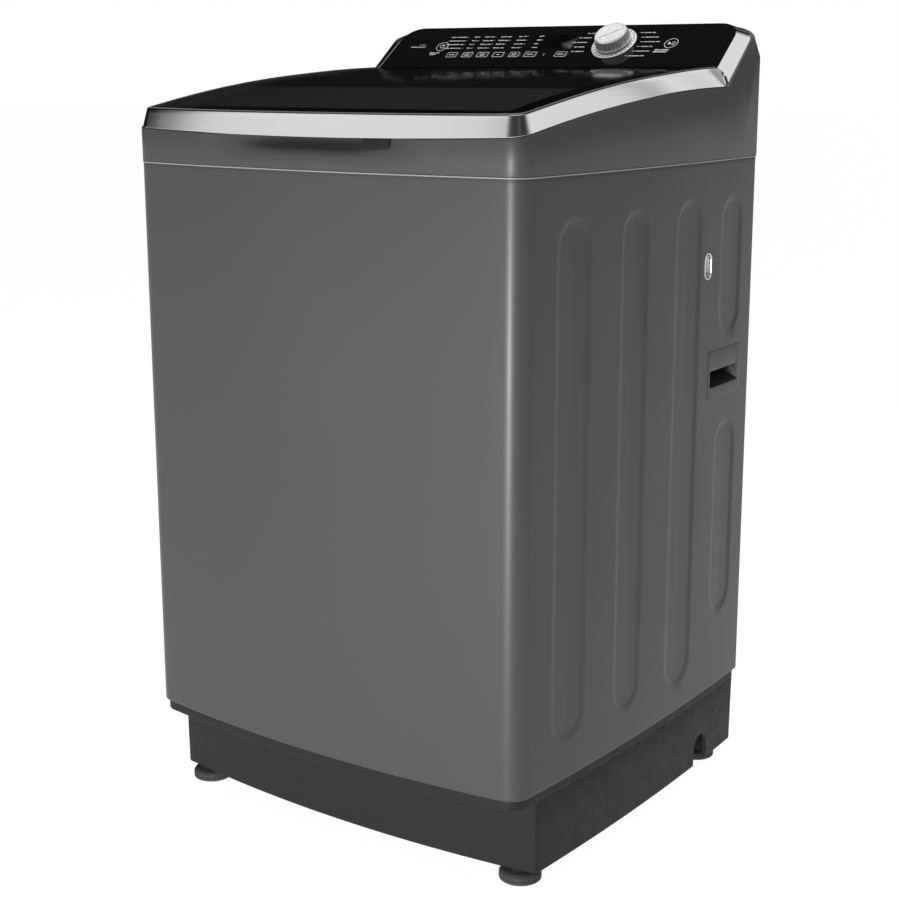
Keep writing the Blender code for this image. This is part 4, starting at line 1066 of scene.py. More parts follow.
def push_keys():
    for name, outline, x, s in all_keys():
        loops = []
        for grow, n in (
            (0.0012, -0.0078), (0.0012, -0.0048), (0.0, -0.0048), (0.0, -GAP - 0.0003),
            (-0.0001, -GAP - 0.0001), (-0.0003, -GAP),
        ):
            loops.append([(px, ps, n) for px, ps in outline(grow)])
        key = on_face(f"{name}_cap", loops_mesh(loops), x, s)
        dress(key, "black", name, [name])
        bm = bmesh.new()
        if outline is bar_shape:
            number = int(name[-1])
            tight = 0.0026 + 0.0006 * (number % 3)
            ring_mark(bm, *(
                rounded_rectangle((-0.0118 + tight + d, -0.0052 + d), (0.0118 - tight - d, 0.0052 - d),
                                  0.0008, 2)
                for d in (0.0, 0.00055)
            ))
            words = (0.01,) if number in (1, 6, 7) else (0.005,) if number == 4 else (0.008,)
            lines = (0.0014, -0.0014) if number in (2, 3, 5) else (0.0,)
            for s_line in lines:
                caption(bm, -words[0] / 2, s_line, words, 0.0018)
        else:
            ring_mark(bm, outline(-0.0005), outline(-0.0011))
        if name == "power_key":
            ring_mark(bm, circle(0.0038, 24), circle(0.0031, 24))
            dash(bm, 0.0, 0.003, 0.0008, 0.0038)
        elif name == "start_key":
            prism([(-0.0042, -0.003), (0.0002, 0.0), (-0.0042, 0.003)], *MARK_N, bm=bm)
            dash(bm, 0.0022, 0.0, 0.0009, 0.0056)
            dash(bm, 0.0042, 0.0, 0.0009, 0.0056)
        dress(on_face(f"{name}_print", bm, x, s), "print", name)


def knob():
    ring = [
        (SCALE_RADIUS, 0.0), (SCALE_RADIUS, 0.0004), (SCALE_RADIUS - 0.0003, 0.0009),
        (SCALE_RADIUS - 0.0008, 0.0011), (KNOB_RADIUS + 0.0012, 0.0011), (KNOB_RADIUS + 0.0006, 0.0008),
        (0.0052, 0.0008), (0.0052, 0.0),
    ]
    ring = on_face("scale_ring", turned(ring, 96), KNOB_X, KNOB_S)
    dress(ring, "silver", "cabinet", ["knob_scale_ring"])
    marks = bmesh.new()
    for i in range(28):
        angle = 2 * pi * (i + 0.5) / 28
        spot = (0.0288 * cos(angle), 0.0288 * sin(angle))
        prism(circle(0.00125, 14, spot), 0.0009, 0.00122, bm=marks)
    dress(on_face("scale_dots", marks, KNOB_X, KNOB_S), "dots", "cabinet")

    steps, flutes = 288, 32
    top = KNOB_HEIGHT
    profile = [
        (-0.0199, -0.016, 0.0), (-0.0199, 0.002, 0.0), (-0.0004, 0.002, 0.0), (0.0006, 0.0026, 0.0),
        (0.0008, 0.004, 0.0), (0.0005, 0.0048, 0.3), (0.0002, 0.0056, 1.0), (-0.0004, 0.01, 1.0),
        (-0.001, 0.0145, 1.0), (-0.0013, 0.0156, 0.6), (-0.0018, 0.0164, 0.0), (-0.003, 0.0176, 0.0),
        (-0.0042, top - 0.0002, 0.0), (-0.005, top - 0.0003, 0.0), (-0.0056, top - 0.0009, 0.0),
        (-0.01, top - 0.0012, 0.0), (-0.0163, top - 0.0014, 0.0), (-0.0213, top - 0.0014, 0.0),
    ]
    loops = []
    for out, n, flute in profile:
        loop = []
        for i in range(steps):
            angle = 2 * pi * i / steps
            dent = FLUTE_DEPTH * flute * (0.5 - 0.5 * cos(flutes * angle)) ** 0.6
            radius = KNOB_RADIUS + out - dent
            loop.append((radius * cos(angle), radius * sin(angle), n))
        loops.append(loop)
    body = on_face("knob_body", loops_mesh(loops), KNOB_X, KNOB_S)
    dress(body, "silver", "knob", ["knob"], sharp=30)
    outline = [(-0.0165, -0.0016), (0.0175, -0.0011), (0.0186, 0.0), (0.0175, 0.0011), (-0.0165, 0.0016),
               (-0.0176, 0.0)]
    loops = [
        [(x, s, top - 0.0016) for x, s in outline],
        [(x, s, top - 0.0006) for x, s in outline],
        [(x * 0.97, s * 0.35, top) for x, s in outline],
    ]
    ridge = on_face("knob_pointer", loops_mesh(loops), KNOB_X, KNOB_S, turn=radians(35))
    dress(ridge, "silver", "knob")


def console_trim():
    inner = panel_edge(0.0, 0.0, start=0.0)
    outer = panel_edge(TRIM_WIDTH, TRIM_TOP_WIDTH, start=-0.03)
    sections = []
    for (x, s), (out_x, out_s) in zip(inner, outer):
        drop = seat_drop(out_s)
        foot = x + copysign(0.0012, x)
        near, far = Vector((x, s, 0.0)), Vector((out_x, out_s, -drop))
        line = [near.lerp(far, t) for t in (0.02, 0.35, 0.7, 0.97)]
        low = Vector((foot, s, -seat_drop(s)))
        sections.append([near.lerp(low, 0.08)] + line + [far.lerp(low, 0.04), low])
    strip = on_face("console_strip", loops_mesh(sections))
    keep(strip, prism(flat(plan(0.0006)), 0.8, 1.05))
    front = [
        (0.1, 0.06), (0.1883, 0.07), (0.1883, 0.0885), (0.1969, 0.102), (0.198, 0.1045), (0.1983, 0.1065),
        (0.1983, 0.14), (0.1, 0.14),
    ]
    front = [(y, SEAM_Z + z) for y, z in front]
    cut(strip, side_prism(front))
    dress(strip, "chrome", "cabinet", ["console_trim"], sharp=30)


# ---- handles and hook
def handles():
    face_x = HALF_WIDTH - SIDE_BOW * 0.72
    wall, cheek, flange = 0.0025, 0.0036, 0.0015
    lip_z, sill_z = (HANDLE_Z[0] + HANDLE_Z[1]) / 2 + 0.0055, 0.5465
    low_z, high_z = HANDLE_Z[0] + GAP, HANDLE_Z[1] - GAP
    low_y, high_y = HANDLE_Y[0] + GAP, HANDLE_Y[1] - GAP
    back = HANDLE_DEPTH - wall
    slope_top = low_z + 0.0265
    for side, tag in SIDES:
        def outward(points):
            return [(side * (face_x - depth), z) for depth, z in points]

        block = [(HANDLE_DEPTH, low_z), (-0.01, low_z), (-0.01, high_z), (HANDLE_DEPTH, high_z)]
        cup = shape(f"grip_cup_{tag}", prism(outward(block), low_y, high_y, axis=1))
        rim = rounded_rectangle((low_y - flange, low_z - flange), (high_y + flange, high_z + flange), 0.0055)
        join(cup, prism(rim, *sided(side, face_x - 0.0022, face_x + 0.01), axis=0))
        keep(cup, prism(flat(plan(-0.0001, rear=SHELL_REAR)), 0.4, 0.7))
        mouth = [
            (-0.03, sill_z), (0.0, sill_z), (back, slope_top), (back, high_z - wall), (0.01, high_z - wall),
            (0.01, lip_z), (-0.03, lip_z),
        ]
        cut(cup, prism(outward(mouth), low_y + cheek, high_y - cheek, axis=1))
        soften(cup, 0.0008, 3, 40)
        dress(cup, "cover", "cabinet", [f"handle_pocket_{tag}"])


def hook_outline(inset):
    half_y, half_z = HOOK_SIZE[0] / 2 - inset, HOOK_SIZE[1] / 2 - inset
    low = (HOOK_Y - half_y, HOOK_Z - half_z)
    high = (HOOK_Y + half_y, HOOK_Z + half_z)
    return rounded_rectangle(low, high, half_y * 0.98, steps=8)


def hose_hook():
    """A keyhole eye in the right side: a shallow silver cup with a raised rim, and a black plate in it for
    the slot: painted shade.
    """
    face_x = side_x(HOOK_Y)
    loops = []
    for inset, depth in (
        (0.001, 0.015), (-0.0004, 0.012), (0.0004, 0.0006), (-0.001, 0.0004), (-0.0012, -0.0002),
        (-0.0008, -0.0006), (0.0, -0.0007), (0.0006, -0.0004), (0.001, 0.001), (0.0014, 0.003),
        (0.0024, 0.0052), (0.0042, 0.0066), (0.0062, 0.007),
    ):
        loops.append([(face_x - depth, y, z) for y, z in hook_outline(inset)])
    eye = shape("hook_eye", loops_mesh(loops))
    dress(eye, "silver", "cabinet", ["hose_hook"])
    # A black plate on the cup's floor for the keyhole slot: painted shade where the slot's hollow would be
    # dark.
    slot = rounded_rectangle((HOOK_Y - 0.0024, HOOK_Z - 0.0115), (HOOK_Y + 0.0024, HOOK_Z - 0.004), 0.0022)
    dark = shape("hook_slot_shade", prism(slot, face_x - 0.0073, face_x - 0.0066, axis=0))
    dress(dark, "dots", "cabinet")


# ---- tub, basket and drive
TUB_RADIUS, TUB_BOTTOM, TUB_TOP = 0.258, 0.248, 0.765
BASKET_RADIUS, BASKET_BOTTOM, BASKET_TOP = 0.236, 0.272, 0.735
PULSATOR_RADIUS = 0.2
ROD_X, ROD_Y, ROD_RADIUS = 0.243, 0.228, 0.0045
LUG_Z = 0.33
SPRING_BOTTOM = 0.262
VALVE_SPOT = (0.15, 0.085)
HOSE_BOTTOM, HOSE_TOP = 0.075, 0.212
DUCT_RADIUS = 0.0145
GLAND_SPOT = (0.205, 0.69)
ROD_PLACES = (
    (-ROD_X, -ROD_Y, "front_left"), (ROD_X, -ROD_Y, "front_right"), (-ROD_X, ROD_Y, "rear_left"),
    (ROD_X, ROD_Y, "rear_right"),
)


def teeth(count, share, height, low_z=-1.0, high_z=2.0, from_radius=0.0):
    """A wave for turned(): count raised blocks round the axis, each share of its pitch wide."""
    def wave(angle, radius, z):
        place = (angle * count / (2 * pi) + 0.5) % 1.0
        inside = abs(place - 0.5) < share / 2 and low_z < z < high_z and radius >= from_radius
        return height if inside else 0.0

    return wave


def shell_profile(points, wall):
    """A wall of even thickness inside a rising outer (radius, z) line."""
    inner = []
    for i, (radius, z) in enumerate(points):
        before = Vector(points[max(i - 1, 0)])
        after = Vector(points[min(i + 1, len(points) - 1)])
        along = (after - before).normalized()
        inner.append((max(radius - wall * along.y, 0.0), z + wall * along.x))
    return points + inner[::-1]


def outer_tub():
    line = [(0.052, 0.0), (0.125, 0.0), (0.196, 0.0), (0.206, 0.0008), (0.222, 0.0045), (0.236, 0.0105)]
    line.append((0.246, 0.021))
    line += [(TUB_RADIUS - 0.006 + 0.006 * t, 0.04 + 0.477 * t) for t in stations(0.0, 1.0, 8)]
    wall = shape("tub_wall", turned(shell_profile(shifted(line, 0.0, TUB_BOTTOM), 0.003), 96))
    for x, y, tag in ROD_PLACES:
        lug = rounded_rectangle((-0.022, -0.022), (0.105, 0.022), 0.01, 6)
        place = Matrix.Translation((x, y, LUG_Z)) @ Matrix.Rotation(atan2(-y, -x), 4, "Z")
        arm = shape(f"lug_{tag}", prism(lug, 0.0, 0.012), place)
        cut(arm, prism(circle(TUB_RADIUS - 0.0075, 96), 0.2, 0.6))
        cut(arm, prism(circle(ROD_RADIUS + 0.0012, 24, (x, y)), 0.29, 0.38))
        soften(arm, 0.001, 2)
        dress(arm, "tub", "tub")
    cut(wall, prism(circle(0.017, 32, VALVE_SPOT), 0.22, 0.27))
    dress(wall, "tub", "tub", ["outer_tub"])
    low, high = TUB_BOTTOM + 0.105, TUB_TOP - 0.018

    def fin():
        section = [
            (TUB_RADIUS - 0.008, low), (TUB_RADIUS - 0.0015, low), (TUB_RADIUS + 0.002, low + 0.01),
            (TUB_RADIUS + 0.002, high), (TUB_RADIUS - 0.002, high),
        ]
        return prism(section, -0.0011, 0.0011, axis=1)

    ribs = around(36, fin, start=radians(5))
    for z in (0.42, 0.53, 0.64):
        radius = TUB_RADIUS - 0.006 + 0.006 * (z - TUB_BOTTOM - 0.04) / 0.477
        turned([
            (radius - 0.0015, z), (radius + 0.003, z), (radius + 0.003, z + 0.0025),
            (radius - 0.0015, z + 0.0025),
        ], 96, bm=ribs)
    dress(shape("tub_ribs", ribs), "tub", "tub")


def tub_cover():
    rim = shifted([
        (0.2015, 0.004), (0.2012, 0.012), (0.2015, 0.0195), (0.2026, 0.022), (0.205, 0.023), (0.208, 0.0226),
        (TUB_RADIUS - 0.0075, 0.0144), (TUB_RADIUS - 0.003, 0.0135), (TUB_RADIUS + 0.001, 0.0118),
        (TUB_RADIUS + 0.002, 0.0095), (TUB_RADIUS + 0.002, -0.0115), (TUB_RADIUS + 0.0016, -0.012),
        (TUB_RADIUS + GAP, -0.012), (TUB_RADIUS + GAP, GAP), (0.2045, 0.004),
    ], 0.0, TUB_TOP)
    body = turned(rim, 144, wave=teeth(12, 0.1, 0.0016, TUB_TOP - 0.011, TUB_TOP + 0.0096,
                                       TUB_RADIUS + 0.0018))
    dress(shape("tub_cover_ring", body), "white", "tub", ["tub_cover"])


def drive():
    housing = [
        (0.013, 0.176), (0.029, 0.176), (0.0305, 0.1766), (0.036, 0.182), (0.0372, 0.19), (0.042, 0.213),
        (0.0435, 0.2148), (0.094, 0.2256), (0.0956, 0.2266), (0.1, TUB_BOTTOM - GAP - 0.0006),
        (0.0996, TUB_BOTTOM - GAP), (0.0515, TUB_BOTTOM - GAP), (0.0505, 0.262), (0.013, 0.262),
    ]
    body = turned(housing, 96, wave=teeth(12, 0.25, 0.0016, 0.18, 0.214, 0.035))
    dress(shape("clutch_body", body), "cast", "tub", ["clutch_housing"])

    core = turned([(0.0475, 0.19), (0.1045, 0.19), (0.1045, 0.208), (0.0475, 0.208)], 108,
                  wave=teeth(36, 0.34, -0.006, from_radius=0.1))
    dress(shape("stator_core", core), "steel", "tub", ["motor_stator"])

    def coil():
        loops = []
        for x, grow in ((0.06, -0.0005), (0.0612, 0.0), (0.0945, 0.0), (0.0957, -0.0005)):
            half = 0.0052 * x / 0.094 + grow
            outline = rounded_rectangle((-half, 0.1868 - grow), (half, 0.2112 + grow), 0.0022)
            loops.append([(x, y, z) for y, z in outline])
        return loops_mesh(loops)

    dress(shape("stator_coils", around(36, coil)), "winding", "tub")

    cup = [
        (0.0104, 0.163), (0.112, 0.163), (0.118, 0.1634), (0.1222, 0.1658), (0.124, 0.169), (0.124, 0.2072),
        (0.1234, 0.208), (0.1126, 0.208), (0.112, 0.2072), (0.112, 0.1735), (0.04, 0.1735), (0.036, 0.1715),
        (0.0104, 0.1715),
    ]
    body = shape("rotor_cup", turned(cup, 96))

    def window():
        return prism([(0.052, -0.005), (0.1, -0.01), (0.1, 0.01), (0.052, 0.005)], 0.15, 0.18)

    cut(body, around(10, window))
    soften(body, 0.0004, 1, 50)
    dress(body, "steel", "pulsator", ["rotor"])
    shaft = [
        (0.0, 0.16), (0.0092, 0.16), (0.01, 0.1608), (0.01, 0.3), (0.0096, 0.3006), (0.0096, 0.3152),
        (0.0088, 0.316), (0.0, 0.316),
    ]
    body = turned(shaft, 96, wave=teeth(24, 0.5, -0.0007, 0.3005, 0.317, 0.009))
    dress(shape("shaft", body), "steel", "pulsator", ["wash_shaft"])


def drain_valve():
    valve = [
        (0.0115, 0.212), (0.0188, 0.212), (0.02, 0.213), (0.02, 0.22), (0.019, 0.2206), (0.019, 0.2236),
        (0.02, 0.2242), (0.02, 0.2446), (0.0194, 0.2455), (0.0158, 0.2458), (0.0158, 0.2514), (0.0152, 0.252),
        (0.0115, 0.252),
    ]
    body = turned(valve, 48, VALVE_SPOT)
    dress(shape("drain_valve_body", body), "valve", "tub", ["drain_valve"])


def perforated_wall(bm, radius, low, high, columns, rows, hole, solid):
    """A round wall of cells, each with an eight-sided hole, apart from the solid columns."""
    def spot(angle, z):
        return bm.verts.new((radius * cos(angle), radius * sin(angle), z))

    step, rise = 2 * pi / columns, (high - low) / rows
    for column in range(columns):
        for row in range(rows):
            left, bottom = column * step, low + row * rise
            angles, levels = (left, left + step / 2, left + step), (bottom, bottom + rise / 2, bottom + rise)
            ring = ((0, 0), (1, 0), (2, 0), (2, 1), (2, 2), (1, 2), (0, 2), (0, 1))
            edge = [spot(angles[i], levels[j]) for i, j in ring]
            if solid(column):
                bm.faces.new((edge[0], edge[1], edge[5], edge[6], edge[7]))
                bm.faces.new((edge[1], edge[2], edge[3], edge[4], edge[5]))
                continue
            inner = []
            for i, j in ring:
                turn = atan2(j - 1, i - 1)
                inner.append(spot(angles[1] + hole * cos(turn) / radius, levels[1] + hole * sin(turn)))
            for k in range(8):
                bm.faces.new((edge[k], edge[(k + 1) % 8], inner[(k + 1) % 8], inner[k]))


def basket():
    columns, foot = 60, BASKET_BOTTOM + 0.048
    bm = bmesh.new()
    line = [(0.046, 0.0), (0.12, 0.0), (0.188, 0.0), (0.204, 0.003), (0.219, 0.01), (0.23, 0.021)]
    line = shifted(line + [(0.235, 0.034), (BASKET_RADIUS, 0.048)], 0.0, BASKET_BOTTOM)

    def ring(radius, z):
        return [bm.verts.new((x, y, z)) for x, y in circle(radius, 2 * columns)]

    skin(bm, [ring(radius, z) for radius, z in line])
    perforated_wall(bm, BASKET_RADIUS, foot, BASKET_TOP - 0.031, columns, 15, 0.0019,
                    lambda c: c % 10 in (0, 5))
    skin(bm, [ring(BASKET_RADIUS, z) for z in (BASKET_TOP - 0.031, BASKET_TOP)])
    wall = shape("basket_wall", bm)
    thicken(wall, 0.0009)
    dress(wall, "drum", "basket", ["basket"], sharp=50)

    ring_profile = shifted([
        (0.207, 0.0222), (0.2036, 0.02), (0.2016, 0.0165), (0.201, 0.012), (0.201, -0.029), (0.2016, -0.0325),
        (0.203, -0.035), (0.206, -0.036), (BASKET_RADIUS - 0.0026, -0.036), (BASKET_RADIUS - 0.0026, GAP),
        (BASKET_RADIUS + 0.0036, GAP), (BASKET_RADIUS + 0.004, 0.0012), (BASKET_RADIUS + 0.004, 0.011),
        (BASKET_RADIUS + 0.003, 0.0136), (0.232, 0.0184), (0.227, 0.0214), (0.215, 0.0245),
    ], 0.0, BASKET_TOP)
    dress(shape("balance_ring_body", turned(ring_profile, 144)), "white", "basket",
          ["balance_ring"])
    for side, tag in SIDES:
        lint_filter(side, tag)


def lint_filter(side, tag):
    outline = rounded_rectangle((-0.052, 0.43), (0.052, 0.64), 0.014, 8)
    body = shape(f"filter_body_{tag}", prism(outline, *sided(side, 0.205, 0.235), axis=0))
    keep(body, prism(circle(BASKET_RADIUS - 0.0045, 96), 0.4, 0.7))
    pocket = rounded_rectangle((-0.042, 0.45), (0.042, 0.62), 0.01, 8)
    cut(body, prism(pocket, *sided(side, 0.19, 0.2165), axis=0))
    soften(body, 0.0016, 3, 40)
    dress(body, "white", "basket", [f"lint_filter_{tag}"])
    slats = bmesh.new()
    for i in range(15):
        z = 0.4575 + i * 0.011
        section = [
            (side * 0.2065, z - 0.0012), (side * 0.21, z - 0.0002), (side * 0.21, z + 0.0016),
            (side * 0.2065, z + 0.0008),
        ]
        prism(section, -0.0425, 0.0425, axis=1, bm=slats)
    for y in (-0.021, 0.0, 0.021):
        low_x, high_x = sided(side, 0.2085, 0.2125)
        box((low_x, y - 0.001, 0.4495), (high_x, y + 0.001, 0.6205), bm=slats)
    dress(shape(f"filter_slats_{tag}", slats), "bluish", "basket")


def swirl(radius):
    """How far the pulsator's ridges have turned at the radius."""
    return 0.55 * (radius / PULSATOR_RADIUS) ** 1.4


def agitator_height(radius, angle):
    """The pulsator's top: a dished disc with a cone in the middle and six curved ridges."""
    line = (
        (0.0, 0.338), (0.022, 0.3372), (0.038, 0.331), (0.05, 0.317), (0.064, 0.3055), (0.09, 0.3),
        (0.12, 0.298), (0.16, 0.299), (0.185, 0.3005), (0.1955, 0.2996), (PULSATOR_RADIUS, 0.2965),
    )
    for (low, low_z), (high, high_z) in zip(line, line[1:]):
        if radius <= high + 1e-9:
            z = low_z + (high_z - low_z) * ease((radius - low) / (high - low))
            break
    ridge = (0.5 + 0.5 * cos(6 * (angle - swirl(radius)))) ** 4
    crown = ease((radius - 0.03) / 0.035) * (1 - ease((radius - 0.15) / 0.042))
    return z + ridge * crown * (0.0215 - 0.06 * max(radius - 0.06, 0.0))


def pulsator():
    steps = 180
    radii = stations(0.0, 0.19, 44)[1:] + [0.194, 0.1975, 0.1992, PULSATOR_RADIUS]
    bm = bmesh.new()
    rows = [[bm.verts.new((0.0, 0.0, agitator_height(0.0, 0.0)))]]
    for radius in radii:
        row = []
        for i in range(steps):
            angle = 2 * pi * i / steps
            spot = (radius * cos(angle), radius * sin(angle), agitator_height(radius, angle))
            row.append(bm.verts.new(spot))
        rows.append(row)
    for radius, z in ((PULSATOR_RADIUS, 0.292), (0.1985, 0.2896), (0.19, 0.286), (0.06, 0.286)):
        rows.append([bm.verts.new((x, y, z)) for x, y in circle(radius, steps)])
    rows.append([bm.verts.new((0.0, 0.0, 0.286))])
    skin(bm, rows)
    disc = shape("agitator_disc", bm)

    def drain_holes():
        part = bmesh.new()
        for radius in (0.1, 0.128, 0.156):
            angle = swirl(radius) + pi / 6
            for shift in (-0.1, 0.0, 0.1):
                spot = (radius * cos(angle + shift), radius * sin(angle + shift))
                prism(circle(0.0026, 12, spot), 0.27, 0.33, bm=part)
        return part

    cut(disc, around(6, drain_holes))
    cut(disc, prism(circle(0.0104, 32), 0.27, 0.318))
    dress(disc, "white", "pulsator", ["pulsator"], sharp=45)
    cap = [(0.0, 0.3368), (0.0145, 0.3368), (0.0145, 0.3384), (0.0138, 0.3392), (0.007, 0.3398), (0.0, 0.34)]
    dress(shape("agitator_cap", turned(cap, 48)), "silver", "pulsator")


def suspension():
    for x, y, tag in ROD_PLACES:
        low, top = SPRING_BOTTOM - 0.012, SEAM_Z - 0.006
        profile = [
            (0.0, low), (0.015, low), (0.0165, low + 0.0006), (0.018, low + 0.003), (0.018, low + 0.0105),
            (0.0176, SPRING_BOTTOM - GAP), (0.008, SPRING_BOTTOM - GAP), (0.0072, SPRING_BOTTOM - 0.001),
            (ROD_RADIUS, SPRING_BOTTOM - 0.001), (ROD_RADIUS, top - 0.024), (0.0052, top - 0.0225),
            (0.0104, top - 0.013), (0.011, top - 0.0115), (0.011, top - 0.0006), (0.0104, top), (0.0, top),
        ]
        rod = shape(f"rod_{tag}", turned(profile, 40, (x, y)))
        dress(rod, "steel", "cabinet", [f"suspension_rod_{tag}"])
        spring(x, y, tag)


def spring(x, y, tag):
    """A coil between the rod's seat and the tub's lug."""
    wire, coil_radius, turns, per_turn = 0.0019, 0.013, 5, 30
    low = SPRING_BOTTOM + wire + GAP
    rise = LUG_Z - GAP - wire - low
    count = turns * per_turn
    loops = []
    for i in range(count + 1):
        angle = 2 * pi * i / per_turn
        share = i / count
        level = low + rise * (0.08 * ease(share * 6) + 0.84 * share + 0.08 * ease(share * 6 - 5))
        out = Vector((cos(angle), sin(angle), 0.0))
        centre = Vector((x, y, level)) + out * coil_radius
        loops.append([centre + out * a + Vector((0, 0, b)) for a, b in circle(wire, 8)])
    coil = shape(f"spring_coil_{tag}", loops_mesh(loops))
    stretch(coil, "steel", "bare_steel", f"suspension_spring_{tag}", (x, y), SPRING_BOTTOM, LUG_Z)


def drain_hose():
    """The bellows from the drain valve down to the elbow."""
    folds, top = 9, HOSE_TOP - GAP
    outer = []
    for i in range(8 * folds + 1):
        radius = DUCT_RADIUS + 0.002 - 0.002 * cos(2 * pi * i / 8)
        outer.append((radius, HOSE_BOTTOM + (top - HOSE_BOTTOM) * i / (8 * folds)))
    inner = [(radius - 0.0018, z) for radius, z in reversed(outer)]
    hose = shape("bellows", turned(outer + inner, 40, VALVE_SPOT))
    stretch(hose, "rubber", "hose_rubber", "drain_hose", VALVE_SPOT, HOSE_BOTTOM, HOSE_TOP)


def duct(start_z, end_x, radius):
    """The loops of a bent pipe that drops from start_z, then runs out to end_x in the side."""
    x, y = VALVE_SPOT
    run = Vector((end_x - x, sum(ARCH_Y) / 2 - y, 0.0))
    along = run.normalized()
    bend, floor_z = 0.026, 0.04
    path = [(Vector((x, y, start_z)), Vector((0, 0, -1)))]
    for angle in stations(0.0, pi / 2, 12):
        spot = Vector((x, y, floor_z + bend)) + along * bend * (1 - cos(angle))
        spot.z -= bend * sin(angle)
        path.append((spot, along * sin(angle) - Vector((0, 0, cos(angle)))))
    for share in stations(0.3, 1.0, 8):
        path.append((Vector((x, y, floor_z)) + run * share, along))
    across = Vector((-along.y, along.x, 0.0))
    loops = []
    for spot, heading in path:
        up = heading.cross(across)
        loops.append([spot + across * a + up * b for a, b in circle(radius, 40)])
    return loops


def drain_outlet():
    outside = duct(HOSE_BOTTOM - GAP, 0.262, DUCT_RADIUS)
    inside = duct(HOSE_BOTTOM - GAP, 0.262, DUCT_RADIUS - 0.0025)
    elbow = shape("outlet_elbow", loops_mesh(outside + inside[::-1], closed=True))
    dress(elbow, "rubber", "cabinet", ["drain_outlet"])


# ---- drawer, inlet, back and board
BOARD_TOP = -0.0229


def shell_box(low, high, wall, open_side):
    """A box without one wall: open_side is the sign and axis of the missing one."""
    body = shape("open_box", box(low, high))
    inner_low, inner_high = [v + wall for v in low], [v - wall for v in high]
    sign, axis = open_side
    if sign > 0:
        inner_high[axis] = high[axis] + 0.02
    else:
        inner_low[axis] = low[axis] - 0.02
    return cut(body, box(inner_low, inner_high))


def detergent():
    low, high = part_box("detergent_case")
    wall = 0.0022
    case = shell_box(low, high, wall, (-1, 1))
    case.name = "case_body"
    soften(case, 0.0006, 2)
    dress(case, "cover", "cabinet", ["detergent_case"])
    low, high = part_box("detergent_drawer")
    body_low = Vector((low.x + 0.0045, low.y + 0.004, low.z + 0.0035))
    body_high = Vector((high.x - 0.0045, high.y, high.z - 0.0045))
    cup = shell_box(body_low, body_high, wall, (1, 2))
    cup.name = "drawer_body"
    divider_x = body_low.x * 0.38 + body_high.x * 0.62
    join(cup, box((divider_x - 0.001, body_low.y + 0.001, body_low.z + 0.001),
                  (divider_x + 0.001, body_high.y - 0.001, body_high.z - 0.006)))
    outline = rounded_rectangle((low.x, low.z), (high.x, high.z), 0.0045)
    join(cup, prism(outline, low.y, low.y + 0.005, axis=1))
    grip = rounded_rectangle((-0.12, low.z + 0.0075), (-0.07, low.z + 0.0155), 0.0038)
    cut(cup, prism(grip, low.y - 0.002, low.y + 0.0028, axis=1))
    soften(cup, 0.0007, 3)
    dress(cup, "white", "detergent_drawer", ["detergent_drawer"])


def from_back(spot, y):
    """Places a turned piece, whose axis is Z, so that it points forward from y at spot in the back wall."""
    return Matrix.Translation((spot[0], y, spot[1])) @ Matrix.Rotation(pi / 2, 4, "X")


def inlet():
    profile = [(0.0, 0.012), (0.0094, 0.012), (0.0096, 0.0), (0.0112, 0.0), (0.0116, 0.0006)]
    for i in range(8):
        z = 0.0012 + i * 0.0018
        profile += [(0.0116, z), (0.0125, z + 0.0006), (0.0125, z + 0.001), (0.0116, z + 0.0016)]
    profile += [
        (0.0116, 0.018), (0.0105, 0.0192), (0.0105, 0.0296), (0.0112, 0.03), (0.0168, 0.03), (0.0175, 0.0308),
        (0.0175, 0.0512), (0.0168, 0.052), (0.0, 0.052),
    ]
    body = shape("inlet_body", turned(profile, 64), from_back(INLET_SPOT, Y_REAR - 0.0015))
    dress(body, "valve", "cabinet", ["inlet_valve"])
    mesh_disc = bmesh.new()
    for shift in stations(-0.0075, 0.0075, 10):
        half = sqrt(0.0092**2 - shift**2)
        box((shift - 0.0003, -half, 0.0058), (shift + 0.0003, half, 0.0064), bm=mesh_disc)
        box((-half, shift - 0.0003, 0.0062), (half, shift + 0.0003, 0.0068), bm=mesh_disc)
    strainer = shape("inlet_strainer", mesh_disc, from_back(INLET_SPOT, Y_REAR - 0.0015))
    dress(strainer, "steel", "cabinet")


